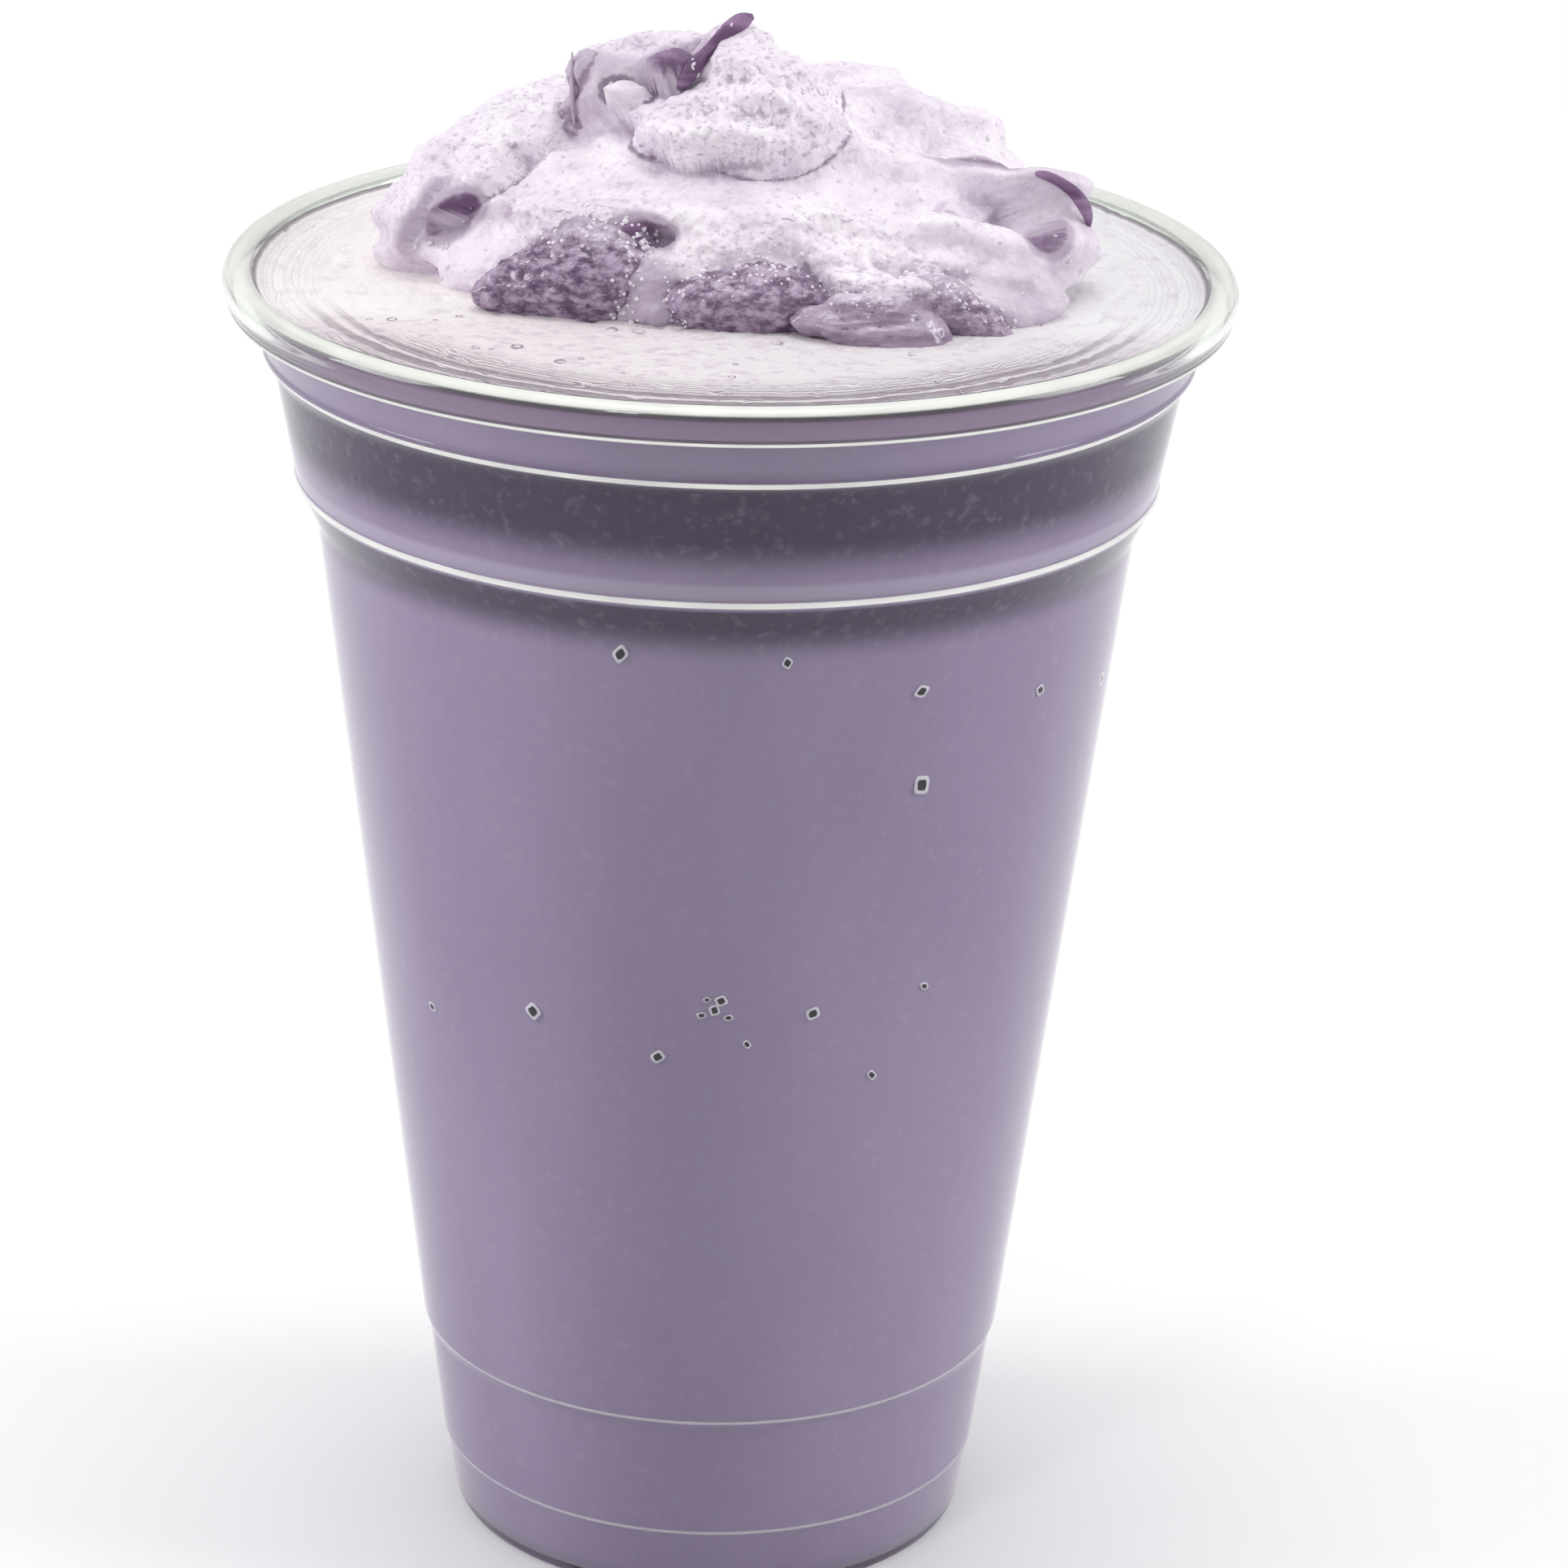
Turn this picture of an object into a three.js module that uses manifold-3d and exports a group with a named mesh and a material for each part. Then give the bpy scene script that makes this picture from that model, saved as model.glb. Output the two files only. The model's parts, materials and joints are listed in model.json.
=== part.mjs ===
// A taro drink in a clear plastic cup, filled to the rim, with a craggy heap of taro slush on a pale foam.
// Millimetres, +Z up. The origin is the centre of the cup's foot, on the table.
import * as THREE from 'three';
import { mergeVertices } from 'three/addons/utils/BufferGeometryUtils.js';
import Module from 'manifold-3d';

const wasm = await Module();
wasm.setup();

// The cup is one thin sheet of plastic: its foot, its wall, and a lip that is rolled outwards.
const CUP_HEIGHT = 131;
const RIM_RADIUS = 49;
const WALL = 0.5;
const CURL_RADIUS = 1.5;
const LIP = { drop: 3.6, outer: 48.55, inner: 48.05 };
const FOOT = { radius: 26, bevel: 0.25, flatOuter: 25.2, flatInner: 23.4, heel: 0.9 };
const PUSH_UP = { height: 2.4, radius: 20.5, lip: 0.3, slope: 0.4 };
const FLOOR = 0.6;
const FLOOR_EDGE = { radius: 24.4, height: 1.0 };
const FLOOR_CORNER = { radius: 25.45, height: 2.0 };

// The stacking rings, from the foot up: the height where each starts and ends, and the radius below and above.
const FOOT_RING = { low: 6.9, high: 7.6, below: 27.0, above: 27.3 };
const BASE_RING = { low: 19.9, high: 20.8, below: 28.9, above: 29.4 };
const STACK_LEDGE = { low: 105.9, high: 109.8, below: 40.05, above: 42.0 };
const BAND_RING = { low: 121.5, high: 122.6, below: 44.2, above: 45.0 };
const NECK = { height: 127.5, radius: 46.0 };

// The food. Neighbours keep GAP between them.
const GAP = 0.3;
const DRINK_TOP = 127.0;
const FOAM_TOP = 129.4;
const FOAM_EDGE_DROP = 0.5;
const FOAM_RINGS = [44.6, 41, 36, 28, 14];
const FOAM_SWELLS = [
  { height: 0.12, round: 3, out: 0.19 },
  { height: 0.12, round: 5, out: -0.31 },
];
const HEAP_FOOT = FOAM_TOP + GAP + FOAM_SWELLS.reduce((sum, swell) => sum + swell.height, 0);

const SIDES = 48;

// The heap is one soft mass. It is star-shaped about HEAP_CORE, and every lump in it is a stretched ball that
// melts into its neighbours over BLEND: centre, half sizes, and turn in degrees about X, Y and Z.
const HEAP_CORE = [0, 6, 124];
const BLEND = 0.9;
const MOUND = {
  body: { at: [0, 7, 131], size: [31.5, 23, 12.5], turn: [0, 0, 0] },
  crown: { at: [1, 6, 139.5], size: [20, 14, 8.5], turn: [0, 0, 0] },
  back: { at: [2, 17, 134], size: [24, 13, 10], turn: [0, 0, 0] },
  boulder: { at: [2.4, -1.2, 145.0], size: [7.8, 8.0, 7.0], turn: [0, 6, 0] },
  boulderFoot: { at: [-3.8, -3.4, 145.0], size: [6.0, 5.0, 2.8], turn: [0, -4, 0] },
  foldTip: { at: [0.3, -0.6, 154.9], size: [2.0, 1.1, 0.8], turn: [0, -36, 0] },
  fold: { at: [-2.4, -2.8, 152.4], size: [3.6, 1.3, 0.8], turn: [0, -44, 0] },
  foldFoot: { at: [-5.0, -4.6, 149.8], size: [1.6, 1.2, 1.0], turn: [0, -60, 0] },
  foldBack: { at: [-6.0, -0.8, 150.4], size: [2.8, 2.2, 2.2], turn: [0, -40, 0] },
  spike: { at: [-14.7, 1.6, 146.6], size: [0.8, 1.8, 3.8], turn: [0, 2, 0] },
  leftFace: { at: [-11.2, 1.0, 146.4], size: [4.6, 2.6, 4.2], turn: [0, -16, 0] },
  oval: { at: [-9.4, -1.6, 148.4], size: [1.6, 0.9, 0.8], turn: [0, -6, 0] },
  crest: { at: [-8.4, 3.4, 150.0], size: [7.2, 2.6, 2.2], turn: [0, -14, 0] },
  rightRidge: { at: [14.0, 8.5, 143.2], size: [9.6, 6.0, 4.8], turn: [0, 12, -8] },
  rightSlope: { at: [22.5, 5.5, 137.4], size: [8.0, 8.5, 5.2], turn: [0, 30, 0] },
  rightLump: { at: [29.8, -0.8, 133.8], size: [5.0, 6.4, 5.2], turn: [0, -8, 14] },
  clawRoot: { at: [30.4, -3.2, 140.4], size: [2.0, 1.2, 0.7], turn: [0, 16, 0] },
  rightClaw: { at: [33.0, -3.4, 138.2], size: [2.4, 1.1, 0.7], turn: [0, 62, 0] },
  rightLobe: { at: [25.8, -10.0, 131.4], size: [7.0, 4.6, 3.8], turn: [0, 0, 20] },
  rightFill: { at: [21.0, -8.5, 134.2], size: [6.4, 5.2, 4.0], turn: [0, 14, 0] },
  leftShoulder: { at: [-20.5, 7.5, 139.6], size: [8.6, 8.5, 5.6], turn: [0, -22, 0] },
  leftLump: { at: [-27.0, 3.0, 134.8], size: [6.4, 6.6, 6.4], turn: [0, -10, 0] },
  leftBrow: { at: [-25.0, -1.6, 138.6], size: [5.0, 2.6, 1.7], turn: [0, -24, 0] },
  leftLobe: { at: [-30.0, 1.0, 132.2], size: [4.0, 4.2, 3.8], turn: [0, 0, 15] },
  leftApron: { at: [-22.6, -4.2, 131.6], size: [7.0, 4.4, 3.8], turn: [0, 0, -50] },
  leftSkirt: { at: [-26.5, 10.0, 133.0], size: [6.4, 9.0, 5.6], turn: [0, 0, 0] },
  saddle: { at: [0, -3, 138.0], size: [19, 8.5, 4.8], turn: [10, 0, 0] },
  archLeft: { at: [-13.0, -7.6, 138.0], size: [8.4, 4.2, 2.2], turn: [20, -12, 6] },
  archMiddle: { at: [1.8, -9.8, 137.0], size: [10.2, 4.6, 2.2], turn: [20, 0, 0] },
  archRight: { at: [15.4, -12.8, 133.4], size: [9.0, 4.4, 2.4], turn: [18, 12, -4] },
  web: { at: [-7.0, -12.6, 131.6], size: [3.4, 4.4, 4.0], turn: [0, 0, 0] },
};

// Hollows pressed into the mass, in the same terms.
const HOLLOWS = {
  leftEye: { at: [-26.6, -5.2, 136.1], size: [2.8, 2.6, 1.5], turn: [0, -32, 0] },
  leftCrease: { at: [-30.2, -3.6, 134.6], size: [1.2, 2.4, 3.4], turn: [0, 24, 0] },
  rightEye: { at: [30.0, -7.2, 136.6], size: [1.8, 2.4, 2.2], turn: [0, 10, 0] },
  rightCrack: { at: [24.2, -1.8, 141.4], size: [4.6, 1.2, 1.2], turn: [0, 14, 0] },
  smallEye: { at: [-8.2, -12.2, 137.2], size: [2.5, 1.6, 0.9], turn: [0, 8, 0] },
};
const HEAP_DETAIL = 21;

// Folds too thin for the mass's own mesh, each joined to it as a tapered ball: the ribbon that runs down from
// the tip, and the claw at the right.
const FOLDS = {
  ribbon: { at: [-2.6, -3.8, 152.1], size: [5.6, 2.0, 1.4], turn: [0, -45, 0], taper: 0.1 },
  claw: { at: [31.8, -4.0, 139.4], size: [3.5, 1.7, 1.1], turn: [0, 44, 0], taper: 0.1 },
};
const FOLD_SEED = 20;

// The search for the mass's surface: from how far out, in what steps, and how often a step is halved.
const SEARCH = { from: 50, step: 0.4, halvings: 10 };
const BURIED = { slope: -0.2, reach: 6 };

// Folds and crags in the heap's surface: crossed waves in drawn directions, of this depth and length.
const RELIEF = [
  { depth: 0.42, length: 9.5 },
  { depth: 0.3, length: 4.8 },
];
const RELIEF_WAVES = 7;
const RELIEF_STRETCH = [0.7, 1.0, 1.5];

// The glossy lumps in front of the heap's foot, in the same terms as the mass, with shallow bumps. Taper is how
// much thicker than its middle each is at its right end, and how much thinner at its left.
const LUMPS = {
  left: { at: [-15.2, -11.6, 131.6], size: [8.6, 5.4, 5.9], turn: [0, -10, 12], taper: 0.34 },
  middle: { at: [1.6, -13.6, 130.6], size: [8.2, 5.4, 5.2], turn: [0, 0, 0], taper: -0.08 },
  right: { at: [13.4, -18.0, 130.5], size: [7.4, 4.6, 3.2], turn: [0, 6, 4], taper: 0.12 },
  corner: { at: [21.4, -15.2, 130.6], size: [5.6, 3.8, 3.0], turn: [0, 16, -14], taper: -0.4 },
};
const LUMP_DETAIL = 3;
const LUMP_BUMPS = 0.07;
const LUMP_WAVES = [3.1, 3.7, 4.3];

/** A repeatable number from 0 to 1 for any index and use. */
function draw(index, use) {
  const s = Math.sin(index * 12.9898 + use * 78.233) * 43758.5453;
  return s - Math.floor(s);
}

/** Points of an arc about [r, z], from one angle to another in degrees. */
function arc(centre, radius, from, to, steps) {
  const points = [];
  for (let i = 0; i <= steps; i++) {
    const a = THREE.MathUtils.degToRad(from + ((to - from) * i) / steps);
    points.push([centre[0] + radius * Math.cos(a), centre[1] + radius * Math.sin(a)]);
  }
  return points;
}

/** The corners of the outer wall from the lowest ring up to the neck, as [radius, height] pairs. */
function wallCorners() {
  const rings = [FOOT_RING, BASE_RING, STACK_LEDGE, BAND_RING];
  const corners = rings.flatMap((ring) => [[ring.below, ring.low], [ring.above, ring.high]]);
  return [...corners, [NECK.radius, NECK.height]];
}

/** The inner wall from the floor's edge up to the neck. */
function innerWall() {
  const floor = [FLOOR_EDGE, FLOOR_CORNER].map(({ radius, height }) => [radius, height]);
  return [...floor, ...wallCorners().map(([r, z]) => [r - WALL, z])];
}

/** The inner wall's radius at a height. */
function innerRadius(height) {
  const wall = [...innerWall(), [RIM_RADIUS - 2 * CURL_RADIUS, CUP_HEIGHT - CURL_RADIUS]];
  const i = Math.max(1, wall.findIndex(([, z]) => z >= height));
  const [r0, z0] = wall[i - 1];
  const [r1, z1] = wall[i];
  return r0 + ((r1 - r0) * (height - z0)) / (z1 - z0);
}

/** A closed solid of revolution from a profile that starts and ends on the axis. */
function lathe(profile) {
  const points = profile.map(([r, z]) => new THREE.Vector2(r, z));
  return new THREE.LatheGeometry(points, SIDES).rotateX(Math.PI / 2);
}

/** The cup's section: from the push-up out round the foot, up to the rolled lip, and back inside. */
function cupProfile() {
  const curl = [RIM_RADIUS - CURL_RADIUS, CUP_HEIGHT - CURL_RADIUS];
  const lipHeight = CUP_HEIGHT - LIP.drop;
  return [
    [0, PUSH_UP.height],
    [PUSH_UP.radius, PUSH_UP.height],
    [FOOT.flatInner - PUSH_UP.slope, PUSH_UP.lip],
    [FOOT.flatInner, 0],
    [FOOT.flatOuter, 0],
    [FOOT.radius - FOOT.bevel, FOOT.bevel],
    [FOOT.radius, FOOT.heel],
    ...wallCorners(),
    ...arc(curl, CURL_RADIUS - WALL, 180, 0, 5),
    [LIP.inner, lipHeight],
    [LIP.outer, lipHeight],
    ...arc(curl, CURL_RADIUS, 0, 180, 7),
    ...innerWall().reverse(),
    [PUSH_UP.radius + PUSH_UP.slope, PUSH_UP.height + FLOOR],
    [0, PUSH_UP.height + FLOOR],
  ];
}

/** The drink fills the cup up to the foam. */
function drinkProfile() {
  const floor = PUSH_UP.height + FLOOR + GAP;
  const edge = [FLOOR_EDGE.radius - GAP / 3, FLOOR_EDGE.height + 1.5 * GAP];
  const corner = [FLOOR_CORNER.radius - 1.1 * GAP, FLOOR_CORNER.height + GAP / 3];
  const side = wallCorners().filter(([, z]) => z < DRINK_TOP).map(([r, z]) => [r - WALL - GAP, z]);
  const top = [innerRadius(DRINK_TOP) - GAP, DRINK_TOP];
  return [[0, floor], [PUSH_UP.radius + PUSH_UP.slope, floor], edge, corner, ...side, top, [0, DRINK_TOP]];
}

/** The foam is a thin disc on the drink whose top swells a little. */
function foamGeometry() {
  const bottom = DRINK_TOP + GAP;
  const brim = [innerRadius(FOAM_TOP) - GAP, FOAM_TOP - FOAM_EDGE_DROP];
  const top = FOAM_RINGS.map((r) => [r, FOAM_TOP]);
  const geometry = lathe([[0, bottom], [innerRadius(bottom) - GAP, bottom], brim, ...top, [0, FOAM_TOP]]);
  const place = geometry.attributes.position;
  for (let i = 0; i < place.count; i++) {
    const radius = Math.hypot(place.getX(i), place.getY(i));
    const angle = Math.atan2(place.getY(i), place.getX(i));
    const onTop = place.getZ(i) > FOAM_TOP - GAP && radius > 1;
    const swells = FOAM_SWELLS.map((s) => s.height * Math.sin(s.round * angle + s.out * radius));
    if (onTop) place.setZ(i, swells.reduce((sum, swell) => sum + swell, FOAM_TOP));
  }
  return geometry;
}

/** A solid for joining and cutting, from a closed geometry. */
function solid(geometry) {
  geometry.deleteAttribute('normal');
  geometry.deleteAttribute('uv');
  const merged = mergeVertices(geometry, 1e-4);
  const vertProperties = new Float32Array(merged.attributes.position.array);
  const triVerts = new Uint32Array(merged.index.array);
  return new wasm.Manifold(new wasm.Mesh({ numProp: 3, vertProperties, triVerts }));
}

/** The largest connected piece, without loose scraps. */
function mainBody(joined) {
  return joined.decompose().reduce((best, piece) => (piece.volume() > best.volume() ? piece : best));
}

/** The geometry of a solid. */
function geometryOf(body) {
  const mesh = body.getMesh();
  const geometry = new THREE.BufferGeometry();
  geometry.setAttribute('position', new THREE.BufferAttribute(new Float32Array(mesh.vertProperties), 3));
  geometry.setIndex(new THREE.BufferAttribute(new Uint32Array(mesh.triVerts), 1));
  geometry.computeVertexNormals();
  return geometry;
}

/** Everything above the foam, as a wide block. */
function aboveFoam() {
  const block = new THREE.BoxGeometry(2 * RIM_RADIUS, 2 * RIM_RADIUS, CUP_HEIGHT);
  return solid(block.translate(0, 0, HEAP_FOOT + CUP_HEIGHT / 2));
}

/** The turn about X, Y and Z, in degrees, as a matrix. */
function turned(turn) {
  const [x, y, z] = turn.map(THREE.MathUtils.degToRad);
  return new THREE.Matrix4().makeRotationFromEuler(new THREE.Euler(x, y, z));
}

/** Lumps or hollows ready to measure from: each with the turn that takes a place into its own axes. */
function prepared(lumps) {
  return Object.values(lumps).map(({ at, size, turn }) => {
    const inverse = turned(turn).transpose();
    return { centre: new THREE.Vector3(...at), size: new THREE.Vector3(...size), inverse };
  });
}

/** About how far a place is outside a stretched ball; negative inside. */
function ballDistance(place, { centre, size, inverse }) {
  const p = place.clone().sub(centre).applyMatrix4(inverse).divide(size);
  const k = p.length();
  return (k * (k - 1)) / Math.max(p.divide(size).length(), 1e-6);
}

/** The waves that make the relief: each a direction scaled to its length, and a phase. */
function reliefWaves() {
  return RELIEF.flatMap(({ depth, length }, octave) => {
    return Array.from({ length: RELIEF_WAVES }, (_, j) => {
      const rise = 2 * draw(j, 20 + octave) - 1;
      const turn = 2 * Math.PI * draw(j, 10 + octave);
      const flat = Math.sqrt(1 - rise * rise);
      const way = [flat * Math.cos(turn), flat * Math.sin(turn), rise];
      const wave = new THREE.Vector3(...way.map((v, k) => (2 * Math.PI * RELIEF_STRETCH[k] * v) / length));
      return { wave, phase: 2 * Math.PI * draw(j, 30 + octave), depth: depth * Math.sqrt(2 / RELIEF_WAVES) };
    });
  });
}

const WAVES = reliefWaves();

/** Folds and crags at a place. */
function relief(place) {
  return WAVES.reduce((sum, { wave, phase, depth }) => sum + depth * Math.sin(wave.dot(place) + phase), 0);
}

/** How far a place is outside the heap's mass; negative inside. */
function heapDistance(place, mounds, hollows) {
  const near = mounds.map((mound) => ballDistance(place, mound));
  const least = Math.min(...near);
  const melted = least - BLEND * Math.log(near.reduce((sum, d) => sum + Math.exp((least - d) / BLEND), 0));
  const carved = hollows.map((hollow) => -ballDistance(place, hollow));
  return Math.max(melted, ...carved) + relief(place);
}

/** How far from the core the mass reaches in one direction. */
function surfaceReach(core, ray, mounds, hollows) {
  const at = (t) => heapDistance(ray.clone().multiplyScalar(t).add(core), mounds, hollows);
  let low = SEARCH.from;
  while (low > SEARCH.step && at(low) > 0) low -= SEARCH.step;
  let high = low + SEARCH.step;
  for (let k = 0; k < SEARCH.halvings; k++) {
    const middle = (low + high) / 2;
    if (at(middle) > 0) high = middle;
    else low = middle;
  }
  return low;
}

/** A lump: a ball stretched to its half sizes and tapered, with shallow bumps, turned and put in place. */
function lumpBody({ at, size, turn, taper }, seed, grow = 0) {
  const ball = new THREE.IcosahedronGeometry(1, LUMP_DETAIL);
  const place = ball.attributes.position;
  const phase = LUMP_WAVES.map((wave, k) => 2 * Math.PI * draw(seed, k));
  for (let i = 0; i < place.count; i++) {
    const p = [place.getX(i), place.getY(i), place.getZ(i)];
    const r = 1 + LUMP_BUMPS * p.reduce((sum, v, k) => sum + Math.sin(LUMP_WAVES[k] * v + phase[k]), 0);
    const girth = [1, 1 + taper * p[0], 1 + taper * p[0]];
    place.setXYZ(i, ...p.map((v, k) => v * (size[k] * girth[k] * r + grow)));
  }
  ball.applyMatrix4(turned(turn));
  return solid(ball.translate(...at));
}

/** The heap: the mass's outermost place in each direction from the core, with its folds, clear of the lumps. */
function heapBody() {
  const ball = new THREE.IcosahedronGeometry(1, HEAP_DETAIL);
  const place = ball.attributes.position;
  const mounds = prepared(MOUND);
  const hollows = prepared(HOLLOWS);
  const core = new THREE.Vector3(...HEAP_CORE);
  const found = new Map();
  for (let i = 0; i < place.count; i++) {
    const ray = new THREE.Vector3().fromBufferAttribute(place, i).normalize();
    const key = ray.toArray().map((v) => Math.round(v * 1e4)).join();
    if (!found.has(key)) {
      found.set(key, ray.z < BURIED.slope ? BURIED.reach : surfaceReach(core, ray, mounds, hollows));
    }
    place.setXYZ(i, ...ray.multiplyScalar(found.get(key)).add(core).toArray());
  }
  let heap = solid(ball).intersect(aboveFoam());
  for (const [i, fold] of Object.values(FOLDS).entries()) heap = heap.add(lumpBody(fold, FOLD_SEED + i));
  for (const [i, lump] of Object.values(LUMPS).entries()) heap = heap.subtract(lumpBody(lump, i, GAP));
  return mainBody(heap);
}

/** The lumps at the heap's foot, each cut flat below and cut clear of the ones before it. */
function lumpBodies() {
  const entries = Object.entries(LUMPS);
  return entries.map(([name, lump], i) => {
    let body = lumpBody(lump, i).intersect(aboveFoam());
    for (let k = 0; k < i; k++) body = body.subtract(lumpBody(entries[k][1], k, GAP));
    return [name, mainBody(body)];
  });
}

/** A material in a plain colour. */
function material(color, roughness, extra = {}) {
  return new THREE.MeshStandardMaterial({ color, roughness, metalness: 0, ...extra });
}

const CLEAR_PLASTIC = material('#e6ece9', 0.12, { transparent: true, opacity: 0.3 });
const TARO_MILK = material('#85769a', 0.45);
const PALE_FOAM = material('#efe8ec', 0.7);
const TARO_SLUSH = material('#d9cbe0', 0.75);
const WET_TARO = material('#6c4d78', 0.25);

const object = new THREE.Group();

/** Adds one named piece. */
function piece(name, geometry, finish) {
  const mesh = new THREE.Mesh(geometry, finish);
  mesh.name = name;
  object.add(mesh);
}

piece('cup', lathe(cupProfile()), CLEAR_PLASTIC);
piece('taro_drink', lathe(drinkProfile()), TARO_MILK);
piece('milk_foam', foamGeometry(), PALE_FOAM);
piece('slush_heap', geometryOf(heapBody()), TARO_SLUSH);
for (const [name, body] of lumpBodies()) piece(`wet_lump_${name}`, geometryOf(body), WET_TARO);

export default object;
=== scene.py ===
import json
import math

import bmesh
import bpy
import numpy as np
from mathutils import Euler, Matrix, Vector

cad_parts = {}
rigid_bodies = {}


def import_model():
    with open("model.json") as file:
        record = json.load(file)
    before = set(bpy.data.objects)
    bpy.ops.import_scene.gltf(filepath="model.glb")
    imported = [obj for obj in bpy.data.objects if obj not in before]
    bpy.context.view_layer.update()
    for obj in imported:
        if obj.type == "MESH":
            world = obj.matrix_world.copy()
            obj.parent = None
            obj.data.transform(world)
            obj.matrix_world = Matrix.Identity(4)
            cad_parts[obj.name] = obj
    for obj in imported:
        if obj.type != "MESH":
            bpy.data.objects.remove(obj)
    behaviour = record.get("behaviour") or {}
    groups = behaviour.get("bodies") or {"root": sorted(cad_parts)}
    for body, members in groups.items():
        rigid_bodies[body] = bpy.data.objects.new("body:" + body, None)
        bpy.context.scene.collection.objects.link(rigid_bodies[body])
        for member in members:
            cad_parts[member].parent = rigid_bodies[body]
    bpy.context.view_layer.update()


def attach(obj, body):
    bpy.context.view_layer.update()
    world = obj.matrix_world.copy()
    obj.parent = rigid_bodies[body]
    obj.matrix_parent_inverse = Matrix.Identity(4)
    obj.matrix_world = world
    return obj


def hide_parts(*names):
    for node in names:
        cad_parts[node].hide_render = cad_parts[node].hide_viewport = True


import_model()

# The cup is one sheet of clear PET, 0.5 mm thick, formed hot over a mould. Its lip is rolled outwards, two
# beaded ledges below it keep stacked cups apart, and the foot is a narrow ring round a push-up.
MM = 0.001
HEIGHT = 131.0
RIM = 49.0
WALL = 0.5
CURL = 1.5
FOOT = {"radius": 26.0, "flat_outer": 25.2, "flat_inner": 23.4, "heel": 0.9}
PUSH_UP = {"height": 2.4, "radius": 20.5, "floor": 0.6}
FLOOR_TOP = PUSH_UP["height"] + PUSH_UP["floor"]
FLOOR_EDGE = (24.4, 1.0)
LOWER_RING, UPPER_RING = 7.6, 20.8
LOWER_LEDGE, UPPER_LEDGE, LIP_LEDGE = 109.8, 122.6, 127.5
WALL_LINE = [(27.0, 6.9), (27.3, LOWER_RING), (28.9, 19.9), (29.4, UPPER_RING), (40.05, 105.9),
             (42.0, LOWER_LEDGE), (44.2, 121.5), (45.0, UPPER_LEDGE), (46.0, LIP_LEDGE)]
BEAD = [(0.28, 0.25), (0.28, 0.6), (0.12, 0.95)]
CORNER = 0.9
SIDES = 192


def rounded(points, reach, steps=4):
    """The same path with every inner corner turned into a short curve."""
    path = [points[0]]
    for before, corner, after in zip(points, points[1:], points[2:]):
        a, c, b = (np.array(p, float) for p in (before, corner, after))
        into, out = a - c, b - c
        cut = min(reach, 0.45 * np.linalg.norm(into), 0.45 * np.linalg.norm(out))
        start = c + into / np.linalg.norm(into) * cut
        end = c + out / np.linalg.norm(out) * cut
        for t in np.linspace(0, 1, steps):
            path.append(tuple((1 - t) ** 2 * start + 2 * t * (1 - t) * c + t * t * end))
    return path + [points[-1]]


def arc(centre, radius, start, end, steps):
    """Points of an arc in the section, from one angle to another in degrees."""
    angles = np.radians(np.linspace(start, end, steps))
    return [(centre[0] + radius * math.cos(a), centre[1] + radius * math.sin(a)) for a in angles]


def outer_wall():
    """The wall's outside with the beads that stand on its two ledges."""
    line = []
    for radius, height in WALL_LINE:
        line.append((radius, height))
        if height in (LOWER_LEDGE, UPPER_LEDGE):
            line += [(radius + out, height + up) for out, up in BEAD]
    return rounded(line, CORNER)


def inner_wall(inset):
    """The wall's inside, from the floor's edge up, so far in from the outside."""
    line = [FLOOR_EDGE, (25.45, 2.0)] + [(r - inset, z) for r, z in WALL_LINE]
    return rounded(line, CORNER)


curl_at = (RIM - CURL, HEIGHT - CURL)
skirt = HEIGHT - 3.5
floor_reach = PUSH_UP["radius"] + 0.4
cup_section = (
    rounded([(0, PUSH_UP["height"]), (PUSH_UP["radius"], PUSH_UP["height"]), (FOOT["flat_inner"] - 0.4, 0.3),
             (FOOT["flat_inner"], 0), (FOOT["flat_outer"], 0), (FOOT["radius"] - 0.25, 0.25),
             (FOOT["radius"], FOOT["heel"])], 0.5)
    + outer_wall()
    + arc(curl_at, CURL - WALL, 180, -20, 12)
    + [(RIM - 0.95, skirt), (RIM - 0.7, skirt - 0.15), (RIM - 0.45, skirt)]
    + arc(curl_at, CURL, -10, 180, 22)
    + inner_wall(WALL)[::-1]
    + [(floor_reach, FLOOR_TOP), (0, FLOOR_TOP)]
)


def linked(name, data):
    """A new object in the scene."""
    thing = bpy.data.objects.new(name, data)
    bpy.context.scene.collection.objects.link(thing)
    return thing


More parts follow.
